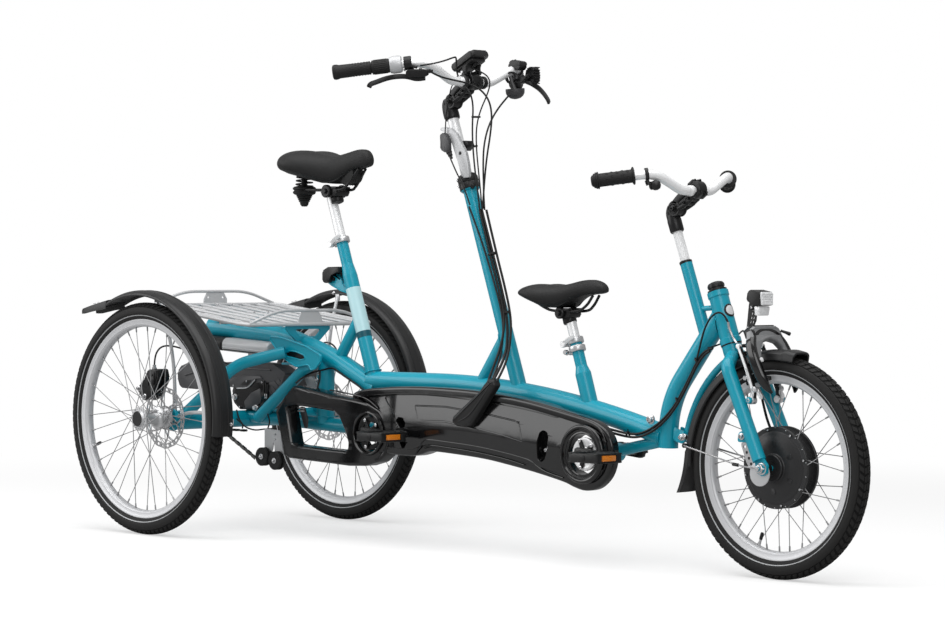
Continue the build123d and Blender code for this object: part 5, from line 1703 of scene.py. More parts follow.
def bar_controls():
    """The display on its clamp, two brake levers, the shifters' shells, the bell and the buttons."""
    piece = Piece("bar_controls_built", "rear_handlebar", "black_plastic")
    for side in (1, -1):
        brake_lever(piece, side)
    low, high = along_line(REAR_BEND, REAR_END, 0.265), along_line(REAR_BEND, REAR_END, 0.402)
    reach = (high - low).length / MM
    piece.lathe(low, high - low, [(11.2, 0), (17, 0), (20.5, 2.5), (21.5, 8), (21.5, reach - 8),
        (20, reach - 3), (19, reach), (11.2, reach)], SILVER, 44, True)
    piece.tube([along_line(REAR_BEND, REAR_END, 0.27) + Z * 4 * MM, at(846, -184, 1176)], [5, 3.6],
               PLASTIC, 14)
    low, high = along_line(REAR_BEND, REAR_END, 0.265, -1), along_line(REAR_BEND, REAR_END, 0.402, -1)
    piece.lathe(low, high - low, [(11.2, 0), (15, 0), (17, 1.5), (17, reach - 1.5), (15, reach),
        (11.2, reach)], METAL, 36, True)
    pod = rounded([(-22, -10), (20, -12), (30, 2), (22, 14), (-14, 15), (-26, 4)], [6, 6, 6, 6, 6, 6], 3)
    piece.solid(pod, lambda a, b, d: at(852 + a * 0.75 + b * 0.2, 141 + d, 1196 + b * 0.9 - a * 0.1),
                26, PLASTIC, 4)
    for k in (-1, 0, 1):
        piece.disc(at(846 + 7 * k, 146, 1206 + 1.2 * k), Vector((0.1, -0.6, 1)), 3.4, 3.6, GRIP, 0.8, 16)
    pod = rounded([(-16, -24), (18, -24), (24, -6), (20, 20), (6, 26), (-14, 20), (-20, 0)], 7, 3)
    piece.solid(pod, lambda a, b, d: at(872 + a * 0.72, 176 + d, 1172 + b * 0.86), 22, METAL, 4)
    for k in range(7):
        piece.block(at(891 - 0.6 * abs(k - 3), 187, 1190 - 6.6 * k + 2), (3.6, 17, 2.8), METAL, 0.8)
    piece.tube([at(884, 120, 1158), at(876, 128, 1166), at(866, 136, 1172)], 4, PLASTIC, 12)
    display = oblong(30, 42, 9, 4)
    tilt = Vector((0.894, 0, 0.447))
    face = Vector((-0.447, 0, 0.894))

    def on_display(a, b, d):
        return at(840, 0, 1202) + (Y * a + tilt * b + face * d) * MM

    piece.solid(display, lambda a, b, d: on_display(a, b, d - 9), 15, PLASTIC, 4)
    piece.solid(rounded([(-26, -36), (26, -36), (26, 37), (-26, 37)], 5, 3), lambda a, b,
                d: on_display(a, b, d + 5.8), 0.9, SCREEN, 0.3)
    piece.solid(rounded([(-25, -36), (25, -36), (25, 30), (-25, 30)], 8, 3), lambda a, b,
                d: on_display(a, b, d - 17), 9, PLASTIC, 3)
    for side in (-1, 1):
        arm = smooth_path([on_display(side * 20, 6, -12), at(846, side * 22, 1184),
                           at(846, side * 24, 1166)], 4)
        piece.sweep(arm, oblong(4, 7, 2), 1.0, PLASTIC, up=X)
        piece.lathe(at(843, side * 24 - 5, 1149), Y,
                    [(12.4, 0), (16.5, 0), (17.5, 1), (17.5, 9), (16.5, 10), (12.4, 10)], PLASTIC, 36, True)
        piece.bolt(at(846, side * 30, 1172), Y * side, 2.8, STEEL, False)
    piece.tube([on_display(0, 18, -16), at(852, -6, 1182)], [5, 3.4], PLASTIC, 12)
    piece.lathe(at(843, 37, 1149), Y, [(11.8, 0), (15.4, 0), (16, 1), (16, 8), (15.4, 9), (11.8, 9)],
                METAL, 36, True)
    bell = at(886, 112, 1136)
    piece.lathe(bell, Vector((0, 0.1, -1)), [(22, 0), (23.4, 0), (23.8, 5), (23, 12), (19, 19), (12, 24),
        (4, 26), (0, 26.2)], DARK, 48)
    piece.lathe(bell, Vector((0, 0.1, -1)), [(0, 2), (20, 2), (22, 0)], METAL, 36)
    piece.tube([bell - Z * 4 * MM, at(872, 116, 1152), at(862, 122, 1166)], [6, 5, 6], METAL, 14)
    piece.block(at(880, 128, 1146), (14, 12, 16), METAL, 3)
    piece.lathe(at(862, 120, 1164), Vector((-0.3, 1, 0.15)), [(11.4, 0), (15.4, 0), (15.4, 9), (11.4, 9)],
                METAL, 32, True)
    piece.done("bar_controls")


def child_stem():
    """The fluted child's post with its stem head and clamp."""
    piece = Piece("child_stem_built", "frame", "black_metal")
    up = CHILD_LEAN
    foot = at(1552, 0, 705)
    piece.plug(foot - up * 4 * MM, up, [(10.2, 0), (10.2, 90)], BRIGHT, 36)
    for k, out in enumerate(outwards(up, 16)):
        if k % 2 == 0 or k < 9:
            piece.tube([foot - up * 3 * MM + out * 9.8 * MM, foot + up * 84 * MM + out * 9.8 * MM],
                       1.35, BRIGHT, 8)
    piece.lathe(foot, up, [(11.6, -2), (14.4, -2), (15.0, 0), (15.0, 4), (13.8, 5), (11.6, 5)],
                METAL, 36, True)
    piece.lathe(foot, up, [(11.2, 76), (14.6, 76), (16.4, 79), (16.6, 104), (14, 118), (0, 122)], METAL, 40)
    shell = route([(1523, 0, 778), (1512, 0, 800), (1506, 0, 820), (1512, 0, 838)], 4)
    piece.sweep(shell, oblong(14, 6, 4), [0.8] + [1] * (len(shell) - 2) + [0.8], METAL, up=X)
    stem_head(piece, at(1525, 0, 830), at(1584, 0, 872), 14, 12.2)
    piece.done("child_stem")


def child_bell():
    """The child's small black ball bell on the bar."""
    piece = Piece("child_bell", "frame", "black_plastic")
    low, high = along_line(CHILD_BEND, CHILD_END, 0.1), along_line(CHILD_BEND, CHILD_END, 0.17)
    way = (high - low).normalized()
    piece.lathe(low, way, [(11.2, 0), (13.6, 0), (14.2, 0.8), (14.2, 7), (13.6, 8), (11.2, 8)],
                PLASTIC, 32, True)
    piece.tube([low + way * 4 * MM - Z * 14 * MM, low + way * 4 * MM + Vector((4, 2, -24)) * MM], [5, 6],
               PLASTIC, 14)
    base = low + Vector((2, 4, -27)) * MM
    aim = Vector((1, 0.35, 0.1)).normalized()
    piece.lathe(base, aim, [(0, 0), (8, 0), (9.5, 1.5), (9.5, 5), (8, 6), (8, 7), (10.6, 8), (11.6, 11),
        (11.2, 17), (8.6, 22), (4.6, 24.4), (0, 25)], PLASTIC, 36)
    piece.done()


bar("rear_bar_built", "rear_handlebar", "rear_bar", (842, -66, 1149), REAR_BEND, REAR_END, [80, 70], 40)
bar("child_bar_built", "frame", "child_bar", (1581, -50, 870), CHILD_BEND, CHILD_END, [70, 60], 26)
rear_grips()
child_grips()
rear_stem()
mast_collar()
bar_controls()
child_stem()
child_bell()

# Rear end: wheel covers, stays, brackets, rack, brakes and the lamp.

RACK_FRONT, RACK_REAR, RACK_HALF = (248, 544), (-140, 590), 222
RACK_SLOPE = (RACK_REAR[1] - RACK_FRONT[1]) / (RACK_FRONT[0] - RACK_REAR[0])


def on_rack(x, y, rise=0.0):
    """A point above the rack's sloping deck."""
    return at(x, y, RACK_FRONT[1] + (RACK_FRONT[0] - x) * RACK_SLOPE + rise)


def rear_mudguards():
    """The rear wheels' covers: a ribbed arch with lips, a flat tail with bolts and a pointed front."""
    piece = Piece("rear_mudguards_built", "frame", "black_plastic")
    for side in (-1, 1):
        hub = at(-4, side * HALF_TRACK, 308)
        half = [(309, 31.5), (311, 32.2), (314, 31.8), (317.5, 29), (320.5, 22), (321.8, 15.5),
                (323.2, 14.6), (323.6, 10), (322.4, 8.8), (322.6, 0)]
        outer = half + [(r, -y) for r, y in half[-2::-1]]
        inside = [(309, -29.6), (315, -28.2), (318.6, -20), (320, 0), (318.6, 20), (315, 28.2), (309, 29.6)]
        cover(piece, hub, outer + inside, -7.5, 114, GUARD, 64)
        tail = [(-132, 602, 31.8, 19), (-150, 598.5, 31.8, 19), (-175, 593.5, 31.6, 17),
                (-205, 587.5, 31, 16), (-225, 583, 30, 15), (-238, 580.5, 28, 13), (-244, 579, 24, 11)]
        section = [(-1, -1), (-1, -0.3), (-0.94, 0.02), (-0.75, 0.16), (-0.35, 0.22), (0, 0.22),
                   (0.35, 0.22), (0.75, 0.16), (0.94, 0.02), (1, -0.3), (1, -1), (0.93, -1), (0.88, -0.15),
                   (0, 0), (-0.88, -0.15), (-0.93, -1)]
        piece.rings([[at(x, side * HALF_TRACK + a * wide, z + b * drop) for a, b in section]
                     for x, z, wide, drop in tail], GUARD)
        for x, y in ((-205, -12), (-178, -6), (-218, 10)):
            piece.bolt(at(x, side * HALF_TRACK + y, 552.5 - 0.19 * x), Vector((-0.2, 0, 1)), 3.0)
        piece.bolt(wheel_point(hub, radians(91), 313, -side * 31.6), Y * -side, 3.2)
        front = radians(-2)
        piece.bolt(wheel_point(hub, front, 321, -side * 20), Vector((cos(front), 0, sin(front))), 3.4)
    piece.done("rear_mudguards")


def mudguard_stays():
    """Grey round stays from the axle's end up and forward to each wheel cover."""
    piece = Piece("mudguard_stays_built", "frame", "grey_paint")
    for side in (-1, 1):
        up = route([(12, side * 258, 300), (15, side * 262, 360), (16, side * 268, 440),
                    (12, side * 284, 530), (4, side * (HALF_TRACK - 30), 612)], 6)
        piece.tube(up, 4.6, GREY, 14)
        ahead = route([(12, side * 258, 300), (70, side * 262, 314), (140, side * 267, 317),
                       (220, side * 288, 311), (306, side * (HALF_TRACK - 29), 301)], 6)
        piece.tube(ahead, 4.6, GREY, 14)
        piece.solid(oblong(12, 9, 4), lambda a, b, d: at(12 + a, side * (256 + d), 300 + b), 5, STEEL, 1)
        piece.block(at(4, side * (HALF_TRACK - 30), 610), (16, 4, 20), GREY, 1)
        piece.block(at(303, side * (HALF_TRACK - 30), 301), (20, 4, 16), GREY, 1)
    piece.done("mudguard_stays")


def weld_ring(piece, place, normal, radius, stretch=1.0, way=None, size=1.9, material=None):
    """A weld bead round a joint, longer along one way."""
    normal = Vector(normal).normalized()
    side, other = square_to(normal)
    if way is not None:
        side = (Vector(way) - normal * Vector(way).dot(normal)).normalized()
        other = normal.cross(side)
    count = 2 * round(radius * 1.1)
    ring = [place + (side * (radius * stretch * cos(2 * pi * k / count)) + other
                     * (radius * sin(2 * pi * k / count))) * MM for k in range(count)]
    piece.weld(ring, material or TEAL, size)


def cross_and_done(piece, place):
    """Finishes a plate that was drawn along x: it is turned across the frame and moved to a place."""
    turn = Matrix.Translation(place) @ Matrix.Rotation(radians(90), 4,
        "Z") @ Matrix.Translation(-at(0, 0, 0))
    bmesh.ops.transform(piece.bm, matrix=turn, verts=piece.bm.verts[:])
    piece.done()


def rack_brackets():
    """The pressed bracket box under the rack, its struts and the cross truss."""
    piece = Piece("rack_brackets_built", "frame", "teal_paint")
    outline = rounded([(157, 512), (193, 511), (235, 504), (300, 489), (358, 467), (357, 450), (338, 431),
                       (320, 425), (310, 440), (262, 433), (209, 455), (183, 477), (160, 498)],
                      [8, 20, 60, 60, 8, 10, 10, 8, 12, 30, 30, 30, 10], 3)
    far = rounded([(158, 500), (210, 498), (262, 486), (304, 464), (312, 440), (262, 433), (209, 455),
                   (183, 477)], [8, 20, 20, 14, 8, 30, 30, 20], 3)
    hole = rounded([(218, 468), (238, 474), (262, 472), (292, 464), (296, 457), (278, 454), (240, 460),
                    (222, 462)], [5, 10, 20, 5, 5, 14, 20, 5], 3)
    for side in (-1, 1):
        low, high = sorted((side * 55, side * 60))
        shape = outline if side < 0 else far
        holed_plate(piece, shape, [hole], low, high, TEAL)
        rim_path = [at(x, side * 60, z) for x, z in inset(shape, 1.5)]
        piece.tube(rim_path, 2.2, TEAL, 8, loop=True)
        rim_path = [at(x, side * 60, z) for x, z in inset(hole, -1.5)]
        piece.tube(rim_path, 1.8, TEAL, 8, loop=True)
        # A black plate inside the box behind each slot: painted shade where the box's teal inside is in
        # shadow.
        low, high = sorted((side * 50, side * 53))
        piece.prism(inset(hole, -7), low, high, PLASTIC, 0.5)
    piece.block(at(254, 0, 441), (116, 108, 6), TEAL, 2)
    support = rounded([(193, 400), (226, 408), (240, 388), (268, 372), (278, 346), (262, 336), (246, 358),
                       (210, 372)], [4, 6, 12, 12, 6, 5, 12, 10], 3)
    piece.prism(support, 27, 33, GREY, 1.6)
    for x, z in ((172, 488), (296, 450)):
        piece.tube([at(x, -55, z), at(x, 55, z)], 7, TEAL, 16)
    truss = rounded([(-76, 540), (76, 540), (76, 531), (40, 500), (-40, 500), (-76, 531)],
                    [3, 3, 3, 14, 14, 3], 3)
    window = rounded([(-48, 531), (48, 531), (28, 512), (-28, 512)], 6, 3)
    made = Piece("rack_truss", "frame", "teal_paint")
    holed_plate(made, truss, [window], 0, 5, TEAL)
    cross_and_done(made, at(240, 0, 0))
    for x in (-110, 40):
        piece.block(at(x + 10, 0, 553), (20, 60, 12), TEAL, 2)
        for side in (-1, 1):
            piece.bolt(on_rack(x + 10, side * 24, 3), Z, 3.0)
    piece.done("rack_brackets")


def frame_welds():
    """Weld beads where the tubes meet."""
    piece = Piece("frame_welds", "frame", "teal_paint")
    weld_ring(piece, at(491, 0, 427), Vector((-0.3, 0, 1)), 20.2, 1.04, X)
    weld_ring(piece, at(440, 0, 561), Vector((0.6, 0, 0.8)), 15.8, 1.5, Vector((-0.36, 0, 1)))
    weld_ring(piece, at(962, 0, 517), Vector((0.9, 0, 0.3)), 16.6, 1.5, Z)
    weld_ring(piece, at(1484, 0, 309), Vector((-1, 0, 0.3)), 25.2, 1.05, Z)
    weld_ring(piece, at(1636, 0, 556), Vector((-0.7, 0, 0.7)), 14.9, 1.5, Vector((0.6, 0, 0.8)))
    weld_ring(piece, at(1658, 0, 583), Vector((0.8, 0, 0.6)), 22.8, 1.12, Vector((-0.35, 0, 0.94)))
    weld_ring(piece, at(487, 0, 401), REAR_LEAN, 19.6)
    for side in (-1, 1):
        weld_ring(piece, at(16, side * 233, 305), Vector((0.5, -0.4 * side, 0.8)), 16.8, 1.15, X)
    piece.done()


def frame_band():
    """The pale plain band with its dark ring round the rear seat tube."""
    piece = Piece("seat_tube_band", "frame", "teal_paint")
    grow = 1 / REAR_LEAN.z
    for z, out, top, edge, material in ((527, 19.35, 111 * grow, 0.3, PALE),
            (512, 19.3, 15 * grow, 0.3 * grow, RING)):
        piece.lathe(at(500 - 0.36 * (z - 401), 0, z), REAR_LEAN,
                    [(19, 0), (out, 0.3), (out, top - edge), (19, top)], material, 56)
    piece.done()


def rack():
    """The rack: a hoop, nine flat bars on cross wires, raised end hoops and their pressed plates."""
    piece = Piece("rack_built", "frame", "grey_paint")
    corners = [on_rack(50, -RACK_HALF), on_rack(RACK_REAR[0], -RACK_HALF), on_rack(RACK_REAR[0], RACK_HALF),
               on_rack(RACK_FRONT[0], RACK_HALF), on_rack(RACK_FRONT[0], -RACK_HALF),
               on_rack(45, -RACK_HALF)]
    piece.tube(bent_path(corners, [28, 28, 28, 28]), 5, GREY, 14)
    along = (on_rack(0, 0) - on_rack(100, 0)).normalized()
    up = along.cross(Y) * -1
    up = up if up.z > 0 else -up
    length = (on_rack(RACK_REAR[0], 0) - on_rack(RACK_FRONT[0], 0)).length / MM
    for number in range(-4, 5):
        middle = (on_rack(RACK_REAR[0], number * 48) + on_rack(RACK_FRONT[0], number * 48)) / 2
        piece.block(middle, (length, 14, 5), GREY, 1.6, along=along, up=up)
        for side in (-1, 1):
            piece.tube([middle - along * length / 2 * MM + Y * side * 3.6 * MM + up * 2.2 * MM,
                        middle + along * length / 2 * MM + Y * side * 3.6 * MM + up * 2.2 * MM],
                       1.2, GREY, 6)
    for x in (-60, 150):
        piece.tube([on_rack(x, -RACK_HALF, -7), on_rack(x, RACK_HALF, -7)], 4, GREY, 12)
    for x in (RACK_REAR[0], RACK_FRONT[0]):
        raised = [on_rack(x, -205, 3), on_rack(x, -110, 36), on_rack(x, 110, 36), on_rack(x, 205, 3)]
        piece.tube(bent_path(raised, [260, 260], 16), 4, GREY, 12)
        plate = rounded([(-40, 2), (40, 2), (40, 16), (26, 37), (-26, 37), (-40, 16)],
                        [3, 3, 8, 8, 8, 8], 3)
        holes = []
        if x == RACK_REAR[0]:
            holes = [circle(side * 25, 20, 3, 345, 23) for side in (-1, 1)]
        made = Piece("rack_plate_rear" if holes else "rack_plate_front", "frame", "grey_paint")
        holed_plate(made, plate, holes, -1.5, 1.5, GREY)
        cross_and_done(made, on_rack(x, 0))
        for side in (-1, 1):
            weld_ring(piece, on_rack(x, side * 205, 3), Y, 4.4, 1.0, None, 1.2, GREY)
    piece.done("rack")


def calipers():
    """Disc brake calipers: a cast body over the rotor with cooling fins, two bolts, its arm and banjo."""
    piece = Piece("brake_calipers_built", "frame", "black_metal")
    for side in (-1, 1):
        outline = rounded([(-97, 373), (-62, 342), (-40, 350), (-22, 374), (-5, 402), (-10, 427),
                           (-46, 424), (-64, 396)], [8, 6, 8, 20, 8, 8, 8, 12], 3)
        for low, high in ((263, 278), (288, 303)):
            a, b = sorted((side * low, side * high))
            piece.prism(outline, a, b, METAL, 3)
        top = rounded([(-58, 392), (-22, 404), (-10, 427), (-46, 425), (-60, 402)], 6, 3)
        a, b = sorted((side * 276, side * 290))
        piece.prism(top, a, b, METAL, 2)
        for k in range(5):
            piece.block(at(-44 + 8 * k, side * 303, 394 + 4.2 * k), (3, 4, 22), METAL, 0.8,
                        along=Vector((1, 0, 0.5)))
        for x, z in ((-84, 374), (-58, 354)):
            piece.bolt(at(x, side * 303, z), Y * side, 4.4)
        piece.plug(at(-26, side * 300, 396), Y * side, [(10, 0), (11, 1), (11, 6), (8, 8)], METAL, 28)
        piece.plug(at(-42, side * 285, 424), Vector((0, 0, 1)),
                   [(6.5, 0), (6.5, 5), (4.6, 6), (4.6, 12)], STEEL, 18)
    piece.done("brake_calipers")


def rear_lamp():
    """The rear lamp on its painted bracket, ahead of the rack."""
    piece = Piece("rear_lamp_built", "frame", "black_plastic")
    body = rounded([(320, 657), (320, 683), (342, 693), (380, 694), (382, 678), (350, 676), (344, 655),
                    (330, 651)], [4, 6, 10, 5, 4, 10, 8, 5], 3)
    piece.prism(body, -22, 22, PLASTIC, 3.4)
    lens = oblong(18, 11, 6, 4)
    piece.solid(lens, lambda a, b, d: at(322 - d, a, 670 + b), 4.5, RED, 1.6)
    plate = rounded([(331, 678), (352, 676), (376, 663), (384, 646), (402, 636), (402, 624), (372, 632),
                     (340, 644), (324, 652)], [4, 6, 6, 10, 3, 3, 8, 6, 4], 3)
    piece.prism(plate, -8, -4, TEAL, 1)
    piece.prism(plate, 4, 8, TEAL, 1)
    piece.prism(rounded([(331, 678), (352, 676), (376, 663), (372, 658), (350, 670), (332, 672)], 3, 2),
                -8, 8, TEAL, 1)
    piece.bolt(at(350, -8, 662), -Y, 3.6, METAL)
    piece.tube([at(352, 0, 670), at(392, 0, 634)], 7.5, TEAL, 16)
    piece.done("rear_lamp")


rear_mudguards()
mudguard_stays()
rack_brackets()
frame_welds()
frame_band()
rack()
calipers()
rear_lamp()

# Drive: cranks, pedals, tensioner, gear unit and battery.

REAR_CRANK, FRONT_CRANK = (571, 276), (1314, 259)
REAR_ARM, FRONT_ARM = 122, 102


def crank(name, body, node, middle, length, guard):
    """A crank set: forged arms, a spider with its bolts and, in front, a bright chain guard."""
    x, z = middle
    piece = Piece(name, body, "black_metal")
    for side, way in ((-1, 1), (1, -1)):
        low = -104 if side < 0 else 98
        arm = rounded([(x - way * 17, z - 9), (x - way * 10, z - 17), (x + way * 12, z - 15),
                       (x + way * length * 0.55, z - 10.5), (x + way * (length - 4), z - 11.5),
                       (x + way * (length + 11), z - 7), (x + way * (length + 11), z + 7),
                       (x + way * (length - 4), z + 11.5), (x + way * length * 0.55, z + 10.5),
                       (x + way * 12, z + 15), (x - way * 10, z + 17), (x - way * 17, z + 9)],
                      [9, 9, 14, 60, 10, 6, 6, 10, 60, 14, 9, 9], 3)
        piece.prism(arm, low, low + 12, METAL, 2.8)
        groove = rounded([(x + way * 26, z - 3.4), (x + way * (length - 18), z - 2.4),
                          (x + way * (length - 18), z + 2.4), (x + way * 26, z + 3.4)], 2.2, 3)
        piece.prism(groove, *((low - 0.5, low + 2) if side < 0 else (low + 10, low + 12.5)), METAL, 0.5)
        face = -104 if side < 0 else 110
        piece.plug(at(x, face, z), Y * side, [(10.5, 0), (10.8, 0.8), (9.5, 1.6), (8, 1.6),
            (8, 0.4)], METAL, 32)
        piece.nut(at(x, face, z), Y * side, 11, 1.4)
        tip = at(x + way * length, face, z)
        piece.plug(tip, Y * side, [(6, -6), (6, 88)], METAL, 24)
        piece.lathe(tip, Y * side, [(6, 0), (8.8, 0), (8.8, 3), (6, 3.6)], STEEL, 8)
    piece.plug(at(x, -92, z), Y, [(15, 0), (15, 3), (8.5, 5), (8.5, 186)], METAL, 32)
    for k in range(5):
        turn = radians(111 + 72 * k)
        out = Vector((cos(turn), 0, sin(turn)))
        reach = guard - 5
        spine = [at(x, -86, z) + out * d * MM for d in (10, reach * 0.5, reach)]
        piece.sweep(smooth_path(spine, 3), oblong(3, 5.5, 2, 2), [1.5, 1.3, 1.15, 1.05, 1, 1, 1], METAL,
                    up=Y.cross(out))
        piece.plug(at(x, -88.6, z) + out * reach * MM, -Y, [(3.6, 0), (4.4, 0.6), (4.4, 2.0), (2.4, 2.4),
            (2.2, 1.2)], STEEL, 18)
    metal = METAL if guard > 38 else BRIGHT
    teeth = []
    for k in range(96):
        grow = 1.6 if k % 3 == 0 else 0
        turn = 2 * pi * k / 96
        teeth.append((x + (guard + grow) * cos(turn), z + (guard + grow) * sin(turn)))
    holed_plate(piece, teeth, [circle(x, z, guard - 10)], -84, -81.5, metal)
    piece.lathe(at(x, -80.5, z), Y, [(guard - 12, 0), (guard + 0.6, 0), (guard + 0.6, 2.5),
        (guard - 12, 2.5)], metal, 64, True)
    if guard <= 38:
        piece.lathe(at(x, -85, z), Y, [(17, 2), (22, 0.6), (29, 0.4), (31, -0.6), (36.5, -0.8), (38.4, 0),
            (38.4, 2), (30, 2.6), (17, 3)], BRIGHT, 64, True)
    piece.done(node)


def pedal(name, body, middle, length, side):
    """A flat pedal: an open cage round its barrel, grip blocks and amber reflectors fore and aft."""
    x, z = middle[0] - side * length, middle[1]
    piece = Piece(f"{name}_built", body, "black_plastic")

    def spot(a, b, c):
        return at(x + a, side * (157 + b), z + c)

    piece.lathe(spot(0, -41.5, 0), Y * side, [(6.2, 0), (9.5, 0), (10.5, 2), (11.5, 20), (11.5, 60),
        (10.5, 80), (9, 83), (0, 83.4)], PLASTIC, 28)
    for way in (-1, 1):
        for low, high in ((-41, -25), (25, 41)):
            piece.block(spot(way * 40, (low + high) / 2, 0), (11.5, high - low, 23.5), PLASTIC, 2.5)
        for rise in (-1, 1):
            piece.block(spot(way * 40, 0, rise * 9.6), (11.5, 84, 4.4), PLASTIC, 1.6)
            for k in range(6):
                piece.block(spot(way * 40, -35 + 14 * k, rise * 11.4), (9, 5.5, 1.4), GRIP, 0.6)
        piece.block(spot(way * 37.5, 0, 0), (6, 52, 18), PLASTIC, 1)
        piece.block(spot(way * 41.8, 0, 0), (6.4, 46, 14), AMBER, 1.6)
        piece.block(spot(0, way * 38.5, 0), (88, 6.5, 21), PLASTIC, 2.4)
        piece.block(spot(0, way * 38.5, 10.3), (40, 4, 1.4), GRIP, 0.6)
        for b in (-22, 0, 22):
            piece.block(spot(way * 23, b, 0), (28, 5, 17), PLASTIC, 1.6)
    piece.disc(spot(0, 41.2, 0), Y * side, 8, 1.6, METAL, 0.6, 24)
    piece.done(name)


def tensioner():
    """The chain tensioner: a forked steel plate with two toothless rollers and a run of chain."""
    piece = Piece("chain_tensioner_built", "frame", "black_metal")
    plate = rounded([(139, 270), (203, 266), (204, 250), (213, 205), (206, 196), (186, 196), (180, 205),
                     (178, 228), (174, 236), (169, 212), (152, 210), (139, 220)],
                    [3, 3, 8, 6, 6, 6, 6, 8, 4, 4, 4, 4], 3)
    holes = [circle(182, 256, 3.2, 330, 11), circle(182, 243, 2.4, 330, 11)]
    holed_plate(piece, plate, holes, -62, -58, SILVER)
    rear = rounded([(134, 206), (152, 214), (206, 206), (214, 190), (206, 176), (160, 180),
                    (136, 190)], 9, 3)
    piece.prism(rear, -63.8, -61.5, METAL, 0.6)
    for x, z in ((148, 197), (200, 189)):
        piece.lathe(at(x, -82, z), Y, [(7.5, 0), (22.6, 0), (24.2, 1.4), (24.2, 6.2), (18, 7.2), (18, 11),
            (24.2, 12), (24.2, 17), (22.6, 18.4), (7.5, 18.4)], GRIP, 48, True)
        piece.plug(at(x, -83.4, z), Y, [(6.4, 0), (7.6, 1), (7.6, 6), (4, 6), (4, 26)], CAST, 28)
        piece.bolt(at(x, -83.2, z), -Y, 3.4, STEEL, False)
    run = route([(-36, -66, 263), (-6, -66, 247), (58, -68, 217), (120, -70, 187)], 8)
    lengths = [(b - a).length for a, b in zip(run, run[1:])]
    total, step = sum(lengths), 12.7 * MM
    for number in range(int(total / step)):
        mark, spot = number * step, 0
        while mark > lengths[spot]:
            mark -= lengths[spot]
            spot += 1
        way = (run[spot + 1] - run[spot]).normalized()
        here = run[spot] + way * mark
        wide = 2.0 if number % 2 else 3.6
        up = way.cross(Y)
        for side in (-1, 1):
            piece.block(here + way * step / 2 + Y * side * wide * MM, (17, 1.3, 7), CHAIN, 0.5,
                        along=way, up=up)
        piece.plug(here - Y * 3.2 * MM, Y, [(3.6, 0), (3.6, 6.4)], CHAIN, 12)
    piece.done("chain_tensioner")


def gear_unit():
    """The gear unit over the rear axle: a ribbed cover, its bolts, a second housing and the tray."""
    piece = Piece("gear_unit_built", "frame", "black_plastic")
    outline = rounded([(-42, 356), (-28, 388), (31, 396), (60, 400), (98, 392), (112, 380), (108, 336),
                       (79, 316), (-8, 313), (-33, 331)], [12, 12, 30, 20, 14, 12, 20, 14, 20, 14], 4)
    piece.prism(outline, -23, 58, PLASTIC, 4)
    for side, face in ((-1, -23), (1, 58)):
        for distance, rise in ((7, 1.8), (13, 3.4)):
            piece.prism(inset(outline, distance),
                        *sorted((face - side * 2, face + side * rise)), GLOSS, 1.4)
        for x, z in ((-30, 376), (24, 389), (88, 388), (102, 348), (70, 322), (-4, 320)):
            piece.plug(at(x, face - side * 2, z), Y * side, [(6, 0), (6, 3.6), (5, 4.6)], METAL, 20)
            piece.bolt(at(x, face + side * 2.4, z), Y * side, 2.8, STEEL, False)
    housing = rounded([(108, 388), (146, 411), (181, 418), (160, 384), (130, 342), (106, 340)],
                      [8, 12, 5, 30, 8, 8], 4)
    piece.prism(housing, -24, 58, DARK, 3)
    for k in range(4):
        x, z = 121 + 10 * k, 362 + 12 * k
        piece.block(at(x, -24.5, z), (3, 3, 26 - 3 * k), DARK, 0.8, along=Vector((0.6, 0, 0.8)),
                    up=Vector((-0.8, 0, 0.6)))
    tray = rounded([(-272, 393), (-262, 420), (-227, 431), (-67, 437), (-8, 441), (126, 438), (183, 413),
                    (168, 402), (108, 388), (-48, 386), (-120, 374), (-187, 361), (-258, 363)],
                   [14, 16, 20, 60, 60, 24, 4, 6, 40, 60, 60, 30, 14], 4)
    piece.prism(tray, -25, 25, DARK, 4)
    for side in (-1, 1):
        rib = route([(-236, side * 25.6, 398), (-150, side * 25.6, 416), (-40, side * 25.6, 423),
                     (120, side * 25.6, 421)], 5)
        piece.tube(rib, 2.2, DARK, 8)
        for x in (-200, -90, 30):
            piece.bolt(at(x, side * 25, 428 if x > -150 else 421), Y * side, 3)
    flat = rounded([(-52, 372), (-50, 392), (5, 404), (80, 404), (92, 396), (61, 396), (28, 374),
                    (-9, 370)], 5, 3)
    piece.prism(flat, -28, -24, DARK, 1.2)
    recess = rounded([(-4, 377), (21, 392), (48, 393), (29, 378)], 3, 3)
    piece.prism(recess, -28.6, -26, PLASTIC, 0.4)
    # A thin silver line along the ridge on the near face: a painted highlight where the ridge catches the
    # light.
    ridge = route([(-14, -28.5, 369), (29, -28.5, 373), (60, -28.5, 394)], 6)
    piece.tube(ridge, 1.5, SILVER, 8)
    facet = rounded([(14, 335), (43, 359), (80, 373), (84, 341), (62, 318), (19, 316)], 5, 3)
    piece.prism(facet, -27.6, -24, DARK, 1.6)
    for x, z in ((62, 320), (-22, 346)):
        piece.plug(at(x, -25, z), -Y, [(8, 0), (8, 4), (5.6, 6), (5.6, 10)], CAST, 24)
    for k in range(3):
        piece.block(at(96 + 7 * k, -27, 376 - 5 * k), (3.4, 5, 34), PLASTIC, 1, along=Vector((1, 0, 0.2)))
    for x in (103, 110):
        piece.block(at(x, -30.5, 352), (2.2, 2, 12), CAST, 0.5)
    piece.done("gear_unit")


